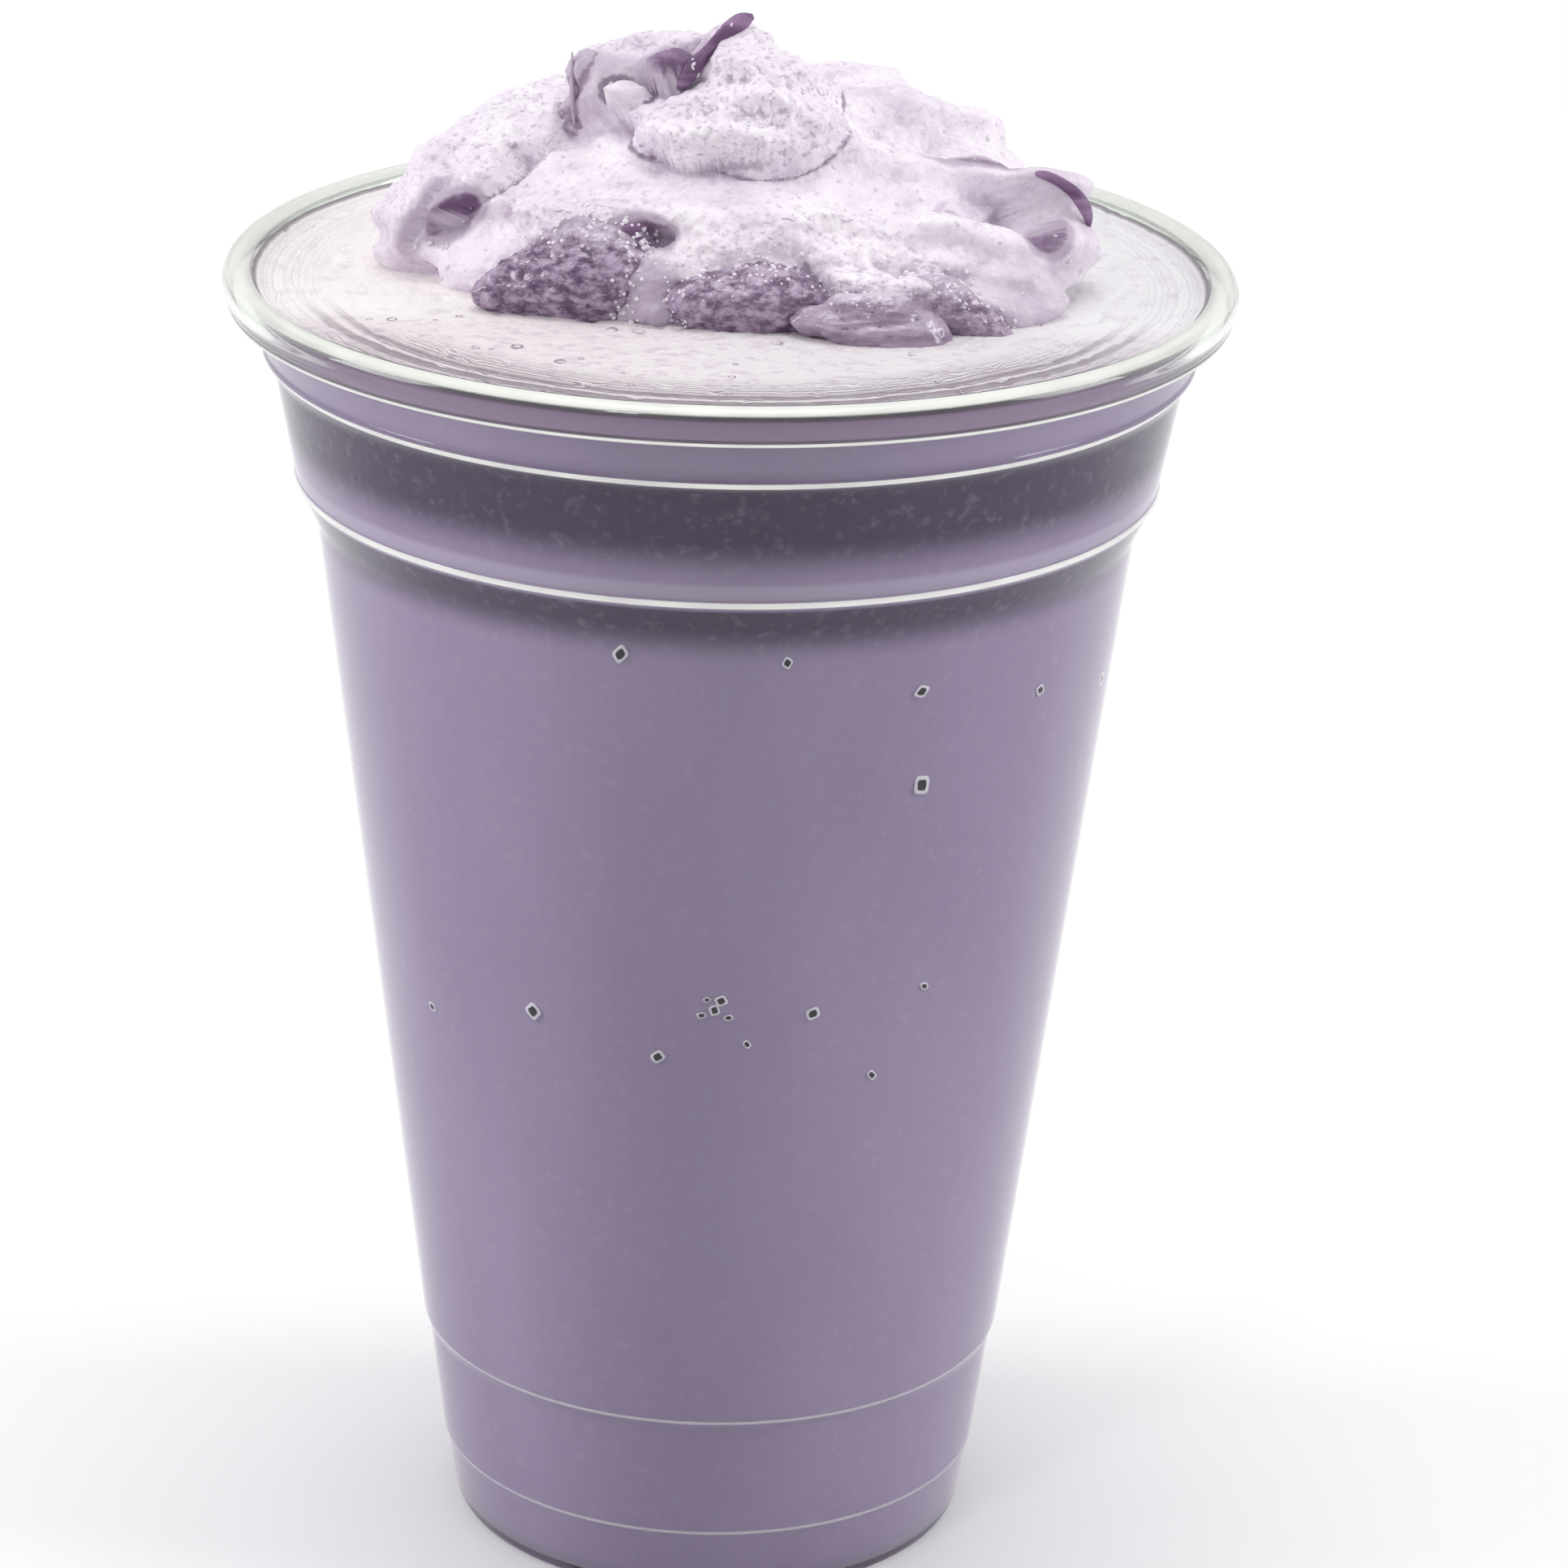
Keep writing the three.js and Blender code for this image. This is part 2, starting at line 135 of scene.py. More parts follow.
class Tree:
    """A Geometry Nodes tree with named inputs."""

    def __init__(self, name, **inputs):
        """Each input is named with _ for a space, and given by its default number or by its kind."""
        self.tree = bpy.data.node_groups.new(name, "GeometryNodeTree")
        self.tree.interface.new_socket("Geometry", in_out="OUTPUT", socket_type="NodeSocketGeometry")
        self.ids = {}
        for key, value in {"Geometry": "Geometry", **inputs}.items():
            label, plain = key.replace("_", " "), not isinstance(value, str)
            kind = type(value).__name__.capitalize() if plain else value
            item = self.tree.interface.new_socket(label, in_out="INPUT", socket_type=f"NodeSocket{kind}")
            if plain:
                item.default_value = value
            self.ids[label] = item.identifier
        self.given = self.tree.nodes.new("NodeGroupInput")
        self.result = self.tree.nodes.new("NodeGroupOutput")

    def __getitem__(self, label):
        return self.given.outputs[label]

    def add(self, kind, settings=None, out=0, **values):
        """Adds a node, sets it and feeds its sockets, each named with _ for a space, or i and its number."""
        node = self.tree.nodes.new(kind)
        for key, value in (settings or {}).items():
            setattr(node, key, value)
        for key, value in values.items():
            numbered = key[0] == "i" and key[1:].isdigit()
            socket = node.inputs[int(key[1:])] if numbered else node.inputs[key.replace("_", " ")]
            if isinstance(value, bpy.types.NodeSocket):
                self.tree.links.new(value, socket)
            else:
                socket.default_value = value
        return node.outputs[out]

    def maths(self, operation, *values):
        """One Math node."""
        fed = {f"i{k}": value for k, value in enumerate(values)}
        return self.add("ShaderNodeMath", {"operation": operation}, **fed)

    def noise(self, size, detail, where, settings=None, **values):
        """Noise, 0 to 1, in lumps of the size that an input gives."""
        scale = self.maths("DIVIDE", 1.0, self[size])
        return self.add("ShaderNodeTexNoise", settings, Vector=where, Scale=scale, Detail=detail, **values)

    def shape_of(self, label):
        """The geometry of the object that an input gives."""
        return self.add("GeometryNodeObjectInfo", {"transform_space": "ORIGINAL"}, out="Geometry",
                        Object=self[label])

    def close(self, geometry, material):
        """Ends the tree: real geometry with its material."""
        real = self.add("GeometryNodeRealizeInstances", Geometry=geometry)
        self.tree.links.new(self.add("GeometryNodeSetMaterial", Geometry=real, Material=material),
                            self.result.inputs[0])

    def make(self, name, base, **values):
        """Runs the tree on an object and returns the result as a plain mesh object."""
        modifier = base.modifiers.new(name, "NODES")
        modifier.node_group = self.tree
        for label, value in values.items():
            modifier[self.ids[label.replace("_", " ")]] = value
        base.update_tag()
        graph = bpy.context.evaluated_depsgraph_get()
        graph.update()
        mesh = bpy.data.meshes.new_from_object(base.evaluated_get(graph))
        base.modifiers.remove(modifier)
        mesh.name = name
        return linked(name, mesh)


def drop(*objects):
    """Removes objects that were only a start for a piece."""
    for thing in objects:
        bpy.data.objects.remove(thing)


def line_through(name, places, half_widths=None):
    """An open line through places in millimetres, which may keep a half width at each as its radius."""
    data = bpy.data.curves.new(name, "CURVE")
    data.dimensions = "3D"
    line = data.splines.new("POLY")
    line.points.add(len(places) - 1)
    for index, (point, (x, y, z)) in enumerate(zip(line.points, places)):
        point.co = (x * MM, y * MM, z * MM, 1)
        if half_widths:
            point.radius = half_widths[index] * MM
    return linked(name, data)


def outward(piece):
    """Turns every face of a closed piece outwards, and shades it smooth."""
    shell = bmesh.new()
    shell.from_mesh(piece.data)
    bmesh.ops.remove_doubles(shell, verts=shell.verts, dist=1e-6)
    bmesh.ops.recalc_face_normals(shell, faces=shell.faces)
    if shell.calc_volume(signed=True) < 0:
        bmesh.ops.reverse_faces(shell, faces=shell.faces)
    shell.to_mesh(piece.data)
    shell.free()
    for face in piece.data.polygons:
        face.use_smooth = True
    return piece


class Flow:
    """A shader value that can be used in sums."""

    def __init__(self, shader, socket):
        self.shader, self.socket = shader, socket

    def _maths(self, operation, *values):
        return self.shader.node("ShaderNodeMath", {"operation": operation}, *values)

    def __add__(self, other): return self._maths("ADD", self, other)
    def __radd__(self, other): return self._maths("ADD", other, self)
    def __sub__(self, other): return self._maths("SUBTRACT", self, other)
    def __rsub__(self, other): return self._maths("SUBTRACT", other, self)
    def __mul__(self, other): return self._maths("MULTIPLY", self, other)
    def __rmul__(self, other): return self._maths("MULTIPLY", other, self)
    def __pow__(self, other): return self._maths("POWER", self, other)

    def most(self, other):
        """The larger of two values."""
        return self._maths("MAXIMUM", self, other)

    def ramp(self, low, high):
        """0 below low, 1 above high, and smooth between."""
        return self.shader.node("ShaderNodeMapRange", {"interpolation_type": "SMOOTHSTEP"},
                                self, low, high, 0.0, 1.0)

    def band(self, low, high, soft):
        """1 between two values and 0 outside them, with soft edges."""
        return self.ramp(low - soft, low) * (1.0 - self.ramp(high, high + soft))


class Finish:
    """A material on Principled BSDF, with nodes written as sums."""

    def __init__(self, name, **constants):
        self.material = bpy.data.materials.new(name)
        self.material.use_nodes = True
        self.nodes, self.links = self.material.node_tree.nodes, self.material.node_tree.links
        self.bsdf = next(n for n in self.nodes if n.type == "BSDF_PRINCIPLED")
        for label, value in constants.items():
            self.bsdf.inputs[label.replace("_", " ")].default_value = value

    def node(self, kind, settings, *values, out=0, **named):
        """Any node: its type, its settings, then the values or links of its sockets."""
        made = self.nodes.new(kind)
        for key, value in settings.items():
            setattr(made, key, value)
        fed = [(made.inputs[k], v) for k, v in enumerate(values)]
        fed += [(made.inputs[key.replace("_", " ")], v) for key, v in named.items()]
        for socket, value in fed:
            if isinstance(value, Flow):
                self.links.new(value.socket, socket)
            else:
                socket.default_value = value
        return Flow(self, made.outputs[out])

    def place(self):
        """Object coordinates, in metres."""
        return self.node("ShaderNodeTexCoord", {}, out=3)

    def along(self, axis):
        """The place along an axis, 0 to 2 for X to Z, in millimetres."""
        return self.node("ShaderNodeSeparateXYZ", {}, self.place(), out=axis) * 1000.0

    def from_axis(self):
        """The distance from the cup's axis, in millimetres."""
        across, along = self.along(0), self.along(1)
        return (across * across + along * along) ** 0.5

    def kept(self, attribute):
        """A number that the mesh keeps at each point."""
        return self.node("ShaderNodeAttribute", {"attribute_name": attribute}, out=2)

    def noise(self, size_mm, detail=3.0, rough=0.55, stretch=(1, 1, 1)):
        """Cloudy noise, 0 to 1, with lumps of that size in millimetres."""
        mapped = self.node("ShaderNodeVectorMath", {"operation": "MULTIPLY"}, self.place(), stretch)
        return self.node("ShaderNodeTexNoise", {}, Vector=mapped, Scale=1000.0 / size_mm, Detail=detail,
                         Roughness=rough)

    def rings(self, spacing, detail):
        """Uneven rings, 0 to 1, that follow a value."""
        return self.node("ShaderNodeTexNoise", {"noise_dimensions": "1D"}, W=spacing, Detail=detail)

    def cells(self, size_mm):
        """The distance in a pattern of cells of that size in millimetres."""
        return self.node("ShaderNodeTexVoronoi", {}, Vector=self.place(), Scale=1000.0 / size_mm)

    def mix(self, share, first, second):
        """From one colour to another; each is a colour or a link."""
        made = self.nodes.new("ShaderNodeMix")
        made.data_type = "RGBA"
        for socket, value in ((made.inputs[0], share), (made.inputs[6], first), (made.inputs[7], second)):
            if isinstance(value, Flow):
                self.links.new(value.socket, socket)
            else:
                socket.default_value = value
        return Flow(self, made.outputs[2])

    def bump(self, height, depth_mm, strength=1.0):
        """A Bump node on a height of 0 to 1."""
        return self.node("ShaderNodeBump", {}, Strength=strength, Distance=depth_mm * MM, Height=height)

    def feed(self, **links):
        """Links what varies over the surface to the main shader's sockets."""
        for label, value in links.items():
            self.links.new(value.socket, self.bsdf.inputs[label.replace("_", " ")])
        return self.material

    def surface(self, colour, roughness):
        """A plain surface that can be laid over the one that shows."""
        return self.node("ShaderNodeBsdfPrincipled", {}, Base_Color=colour, Roughness=roughness)

    def over(self, share, surface):
        """Lays another shader's surface over the one that shows, as far as the share says."""
        out = next(n for n in self.nodes if n.type == "OUTPUT_MATERIAL").inputs["Surface"]
        mixed = self.nodes.new("ShaderNodeMixShader")
        self.links.new(share.socket, mixed.inputs[0])
        self.links.new(out.links[0].from_socket, mixed.inputs[1])
        self.links.new(surface.socket, mixed.inputs[2])
        self.links.new(mixed.outputs[0], out)


def rgb(red, green, blue):
    """A colour as a screen shows it, 0 to 255, made linear for the shader."""
    def linear(v):
        v /= 255
        return v / 12.92 if v <= 0.04045 else ((v + 0.055) / 1.055) ** 2.4
    return (linear(red), linear(green), linear(blue), 1.0)


clear = Finish("clear_pet", Transmission_Weight=1.0, IOR=1.46)
mould_lines = clear.noise(6.0, 1.0, 0.4, (1, 1, 0.15))
scuffs = clear.noise(0.5, 2.0, 0.6)
clear.feed(
    Base_Color=clear.mix(mould_lines, rgb(238, 243, 236), rgb(248, 251, 247)),
    Roughness=0.03 + 0.05 * scuffs.ramp(0.45, 0.75),
    Normal=clear.bump(mould_lines, 0.02, 0.3),
)
level, radius = clear.along(2), clear.from_axis()
in_front = clear.along(1).ramp(-20.0, -40.0)
# A painted view of the drink through the clear lip tints its skirt purple, in front only.
painted_view_through_lip = level.band(LIP_LEDGE + 0.4, HEIGHT - 1.1, 0.15) * radius.ramp(RIM - 1.6, RIM - 1.2)
clear.over(0.65 * in_front * painted_view_through_lip, clear.surface(rgb(140, 121, 148), 0.3))
# Painted highlights whiten the plastic along the ledges, faintly along the rings near the foot, and over the
# lip, more strongly in front.
painted_highlight = level.band(LOWER_LEDGE + 0.3, LOWER_LEDGE + 0.7, 0.15)
painted_highlight = painted_highlight.most(level.band(UPPER_LEDGE - 0.2, UPPER_LEDGE + 0.25, 0.15))
painted_highlight = 0.8 * painted_highlight.most(level.band(LIP_LEDGE - 0.2, LIP_LEDGE + 0.2, 0.1))
for ring in (LOWER_RING, UPPER_RING):
    painted_highlight = painted_highlight.most(0.3 * level.band(ring, ring + 0.2, 0.15))
painted_highlight = painted_highlight.most((0.55 + 0.3 * in_front) * level.ramp(HEIGHT - 0.75, HEIGHT - 0.5))
clear.over(painted_highlight * (0.75 + 0.5 * mould_lines), clear.surface(rgb(243, 244, 239), 0.25))
# A thin dark line runs along the edges of the ledges and of the lip, where the plastic bends light away.
edges = level.band(LIP_LEDGE + 0.4, LIP_LEDGE + 0.55, 0.1)
for ledge in (LIP_LEDGE, UPPER_LEDGE):
    edges = edges.most(level.band(ledge - 0.6, ledge - 0.45, 0.1))
edges = edges.most(0.6 * in_front * level.band(HEIGHT - 1.1, HEIGHT - 0.95, 0.15))
edges = edges.most(1.4 * in_front * level.ramp(HEIGHT - 0.6, HEIGHT - 0.4) * radius.band(46.9, 47.4, 0.1))
edges = edges.most(0.4 * level.band(HEIGHT - 0.8, HEIGHT - 0.6, 0.1) * (1.0 - radius.ramp(46.6, 47.0)))
clear.over(0.9 * edges * (0.4 + mould_lines), clear.surface(rgb(74, 66, 80), 0.3))
# Light on its way to the drink passes straight through.
shadow_ray = clear.node("ShaderNodeLightPath", {}, out=1)
clear.over(shadow_ray, clear.node("ShaderNodeBsdfTransparent", {}, (0.94, 0.94, 0.94, 1)))

turned = Tree("turned_on_axis", Section="Object", Sides=SIDES, Rail_radius=0.1, Weld=2e-6, Finish="Material")
rail = turned.add("GeometryNodeCurvePrimitiveCircle", Resolution=turned["Sides"],
                  Radius=turned["Rail radius"])
rail = turned.add("GeometryNodeSetCurveNormal", {"mode": "Z_UP"}, Curve=rail)
offset = turned.add("ShaderNodeCombineXYZ", X=turned.maths("MULTIPLY", turned["Rail radius"], -1.0))
section = turned.add("GeometryNodeTransform", Geometry=turned.shape_of("Section"), Translation=offset)
swept = turned.add("GeometryNodeCurveToMesh", Curve=rail, Profile_Curve=section)
swept = turned.add("GeometryNodeMergeByDistance", Geometry=swept, Distance=turned["Weld"])
turned.close(swept, turned["Finish"])


def turned_piece(name, points, sides, finish):
    """A closed piece of revolution from its section in millimetres."""
    curve = line_through(name + "_section", [(radius, -height, 0) for radius, height in points])
    start = linked(name + "_start", bpy.data.meshes.new(name + "_start"))
    piece = turned.make(name, start, Section=curve, Sides=sides, Finish=finish)
    drop(curve, start)
    return outward(piece)


cup = turned_piece("clear_cup", cup_section, SIDES, clear.material)
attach(cup, "root")
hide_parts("cup")

# The drink is milk tea whipped with taro paste: thick, opaque and a dull purple. It was poured in to just
# under the rim and wets the plastic all over. Its colour carries painted shade below the ledges and the lip,
# and painted light just above the ledges.
DRINK_TOP = 128.5
DRINK_REACH = 46.04
WETTING = 0.06

drink_section = (
    [(0, FLOOR_TOP - WETTING), (floor_reach, FLOOR_TOP - WETTING), (FLOOR_EDGE[0], FLOOR_EDGE[1] - WETTING)]
    + [point for point in inner_wall(WALL - WETTING)[1:] if point[1] < DRINK_TOP]
    + [(DRINK_REACH, DRINK_TOP), (0, DRINK_TOP)]
)

milk = Finish("taro_milk", IOR=1.35, Sheen_Weight=0.85, Sheen_Roughness=0.5, Sheen_Tint=rgb(224, 232, 230))
swirl = milk.noise(26.0, 2.0, 0.5, (1, 1, 0.45))
curd = milk.noise(1.1, 2.0, 0.6)
level = milk.along(2)
# Painted shade below each ledge and the lip; painted light just above the ledges.
shade = level.ramp(LOWER_LEDGE + 2.6, LOWER_LEDGE + 7.0)
shade = shade * (1.0 - level.ramp(UPPER_LEDGE - 0.6, UPPER_LEDGE - 0.3))
lower_shade = level.ramp(LOWER_LEDGE - 6.3, LOWER_LEDGE - 2.0)
shade = shade.most(lower_shade * (1.0 - level.ramp(LOWER_LEDGE - 0.4, LOWER_LEDGE + 0.1)))
shade = shade.most(0.6 * level.band(LIP_LEDGE - 0.5, LIP_LEDGE - 0.1, 0.4))
lit = 0.95 * level.band(LOWER_LEDGE + 1.0, LOWER_LEDGE + 2.0, 0.8)
lit = lit.most(0.3 * level.band(UPPER_LEDGE + 0.6, LIP_LEDGE - 0.7, 0.4))
milky = milk.mix(swirl.ramp(0.35, 0.7), rgb(159, 139, 177), rgb(167, 148, 184))
milky = milk.mix(lit, milky, rgb(190, 174, 204))
milky = milk.mix(shade, milky, rgb(58, 26, 82))
milky = milk.mix(0.2 * curd.ramp(0.5, 0.8), milky, rgb(190, 180, 200))
milk.feed(Base_Color=milky, Roughness=0.42 + 0.2 * curd, Normal=milk.bump(curd, 0.05, 0.4))

drink = turned_piece("taro_milk_drink", drink_section, SIDES, milk.material)
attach(drink, "root")
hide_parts("taro_drink")

# A few air bubbles and flecks of taro are caught between the drink and the plastic. Each is a flat dark
# blister about a millimetre long, with a pale ring where the drink has drawn back from the wall.
# Each fleck: its angle round the cup from the front, its height and its length.
FLECKS = [(-13.2, 104.2, 1.5), (9.2, 103.9, 1.0), (28.9, 99.7, 1.3), (51.6, 96.5, 1.0), (30.5, 89.8, 1.7),
          (-29.6, 64.8, 1.4), (0.4, 67.4, 1.0), (-1.6, 66.8, 0.8), (1.4, 68.4, 1.0), (2.6, 66.6, 0.8),
          (-0.8, 68.5, 0.6), (15.9, 66.7, 1.2), (-8.5, 62.0, 1.2), (35.1, 67.8, 0.9), (26.9, 59.1, 1.0),
          (5.6, 63.7, 0.8), (74.0, 93.0, 1.4), (108.0, 71.0, 1.1), (139.0, 101.0, 1.3), (166.0, 64.0, 1.5),
          (193.0, 88.0, 1.0), (221.0, 70.0, 1.3), (248.0, 99.0, 1.1), (283.0, 82.0, 1.4), (307.0, 61.0, 1.0)]
FLECK = {"inset": 0.3, "thick": 0.12, "spread": 0.62, "uneven": 0.1, "narrowest": 0.65}


def unit_ball(cuts):
    """Points and triangles of a ball of radius 1, made of near-equal triangles."""
    ball = bmesh.new()
    bmesh.ops.create_icosphere(ball, subdivisions=cuts, radius=1.0)
    points = np.array([v.co for v in ball.verts])
    faces = np.array([[v.index for v in f.verts] for f in ball.faces])
    ball.free()
    return points, faces


def mesh_piece(name, points, faces):
    """A mesh object from points in millimetres."""
    mesh = bpy.data.meshes.new(name)
    mesh.from_pydata((np.asarray(points) * MM).tolist(), [], np.asarray(faces).tolist())
    return linked(name, mesh)


def keep(piece, label, values):
    """Keeps a number at each point of a mesh."""
    kept = piece.data.attributes.new(label, "FLOAT", "POINT")
    kept.data.foreach_set("value", np.asarray(values, np.float32))


def draw(index, use):
    """A repeatable number from 0 to 1 for any index and use."""
    return (math.sin(index * 12.9898 + use * 78.233) * 43758.5453) % 1.0


blister, blister_faces = unit_ball(3)
fleck_points, fleck_faces, ringed = [], [], []
for index, (angle, height, length) in enumerate(FLECKS):
    turn, lean = math.radians(angle), 2 * math.pi * draw(index, 1)
    radius = np.interp(height, [z for _, z in WALL_LINE], [r for r, _ in WALL_LINE]) - FLECK["inset"]
    outwards = np.array([math.sin(turn), -math.cos(turn), 0])
    sideways, upwards = np.array([math.cos(turn), math.sin(turn), 0]), np.array([0, 0, 1])
    long_way = math.cos(lean) * sideways + math.sin(lean) * upwards
    short_way = math.cos(lean) * upwards - math.sin(lean) * sideways
    around = np.arctan2(blister[:, 1], blister[:, 0])
    uneven = 1 + FLECK["uneven"] * np.sin(4 * around + 6 * draw(index, 2))
    spread = length * FLECK["spread"] * uneven[:, None]
    narrow = FLECK["narrowest"] + 0.3 * draw(index, 3)
    fleck_faces.append(blister_faces + sum(map(len, fleck_points)))
    fleck_points.append(radius * outwards + upwards * height + FLECK["thick"] * blister[:, 2:] * outwards
                        + spread * (blister[:, :1] * long_way + narrow * blister[:, 1:2] * short_way))
    ringed.append(np.hypot(blister[:, 0], blister[:, 1]))
blistered = Finish("wall_bubble", IOR=1.33)
edge = blistered.kept("ringed") + 0.25 * (blistered.noise(0.4, 2.0) - 0.5)
blistered.feed(Base_Color=blistered.mix(edge.ramp(0.54, 0.66), rgb(16, 3, 22), rgb(232, 226, 238)),
               Roughness=0.3 + 0.3 * edge)
flecks = mesh_piece("wall_bubbles", np.concatenate(fleck_points), np.concatenate(fleck_faces))
flecks.data.materials.append(blistered.material)
outward(flecks)
keep(flecks, "ringed", np.concatenate(ringed))
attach(flecks, "root")

# The foam is a thin pale skin of fine bubbles on the drink. It rises a little where it clings to the plastic,
# swells gently in between, and is pitted and ringed where bubbles have burst.
FOAM_TOP = 129.4
FOAM_REACH = 46.3
FOAM_RINGS = 120
FOAM_SIDES = 256

foam_section = ([(0, DRINK_TOP - 0.2), (45.6, DRINK_TOP - 0.2), (46.15, DRINK_TOP + 0.3)]
                + [(FOAM_REACH, FOAM_TOP + 0.5), (FOAM_REACH - 0.25, FOAM_TOP + 0.6)]
                + [(45.7, FOAM_TOP + 0.28), (45.1, FOAM_TOP + 0.05)]
                + [(r, FOAM_TOP) for r in np.linspace(44.4, 0.6, FOAM_RINGS)] + [(0, FOAM_TOP)])

foamy = Finish("pale_foam", IOR=1.33, Subsurface_Weight=0.15, Subsurface_Radius=(0.003, 0.003, 0.003))
froth = foamy.noise(2.4, 4.0, 0.6)
pores = foamy.cells(0.55)
across, along, radius = foamy.along(0), foamy.along(1), foamy.from_axis()
specks = foamy.noise(1.1, 4.0, 0.7, (0.6, 1, 1))
speckled = (0.4 + 0.5 * specks.ramp(0.5, 0.66)) * along.ramp(-12.0, -20.0)
rippled = foamy.rings(radius * 1.1 + froth, 3.0).ramp(0.48, 0.62) * radius.ramp(37.0, 44.0)
# Painted scalloped shadow lies on the foam near the lip, in front; two dark rings lie there too, in front
# only.
scalloped_shadow = foamy.rings(radius * 0.9 + 0.5 * froth, 2.0).ramp(0.48, 0.54)
scalloped_shadow = scalloped_shadow * radius.ramp(33.0, 39.0) * along.ramp(-16.0, -30.0)
front_dark_rings = radius.band(39.3, 40.0, 0.3).most(radius.band(41.3, 42.0, 0.3)) * along.ramp(-8.0, -26.0)
creamy = foamy.mix(across.ramp(-30.0, 35.0), rgb(246, 241, 240), rgb(238, 237, 239))
# The last tint is a painted shadow line along the foam's edge, where it meets the plastic.
for share, tint in ((0.5 * froth.ramp(0.52, 0.72), rgb(214, 202, 214)),
                    (speckled, rgb(206, 194, 204)),
                    (0.5 * rippled, rgb(196, 186, 200)),
                    (0.95 * scalloped_shadow, rgb(122, 110, 120)),
                    (0.75 * front_dark_rings * (0.4 + froth), rgb(136, 125, 132)),
                    (0.8 * radius.ramp(45.55, 45.9), rgb(120, 112, 122))):
    creamy = foamy.mix(share, creamy, tint)
foamy.feed(Base_Color=creamy, Roughness=0.45 + 0.3 * froth,
           Normal=foamy.bump(0.6 * pores + 0.4 * froth, 0.14, 0.6))

foam_base = turned_piece("milk_foam_base", foam_section, FOAM_SIDES, foamy.material)
relief = Tree("foam_relief", Swell=0.0005, Swell_size=0.009, Pit=0.0003, Pit_size=0.0019,
              Top=FOAM_TOP * MM - 0.0004, Finish="Material")
spot = relief.add("GeometryNodeInputPosition")
up = relief.add("ShaderNodeSeparateXYZ", out="Z", Vector=spot)
on_top = relief.maths("GREATER_THAN", up, relief["Top"])
swell = relief.maths("SUBTRACT", relief.noise("Swell size", 3.0, spot), 0.5)
swell = relief.maths("MULTIPLY", swell, relief["Swell"])
pit = relief.add("ShaderNodeMapRange", {"interpolation_type": "SMOOTHSTEP"}, i1=0.32, i2=0.45, i3=-1.0,
                 i4=0.0, i0=relief.noise("Pit size", 4.0, spot))
pit = relief.maths("MULTIPLY", pit, relief["Pit"])
rise = relief.maths("MULTIPLY", relief.maths("ADD", swell, pit), on_top)
moved = relief.add("GeometryNodeSetPosition", Geometry=relief["Geometry"],
                   Offset=relief.add("ShaderNodeCombineXYZ", Z=rise))
relief.close(moved, relief["Finish"])
foam = relief.make("foam_skin", foam_base, Finish=foamy.material)
drop(foam_base)
outward(foam)
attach(foam, "root")
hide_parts("milk_foam")

# The heap is half-frozen taro slush, spooned on in soft scoops that have melted into one another. It is one
# mass drawn up to a folded tip. Granular scoops meet smooth ones along ragged seams, and painted shade
# darkens the seams and the hollows.
CORE = np.array([0.0, 6.0, 124.0])
BLEND = 0.9
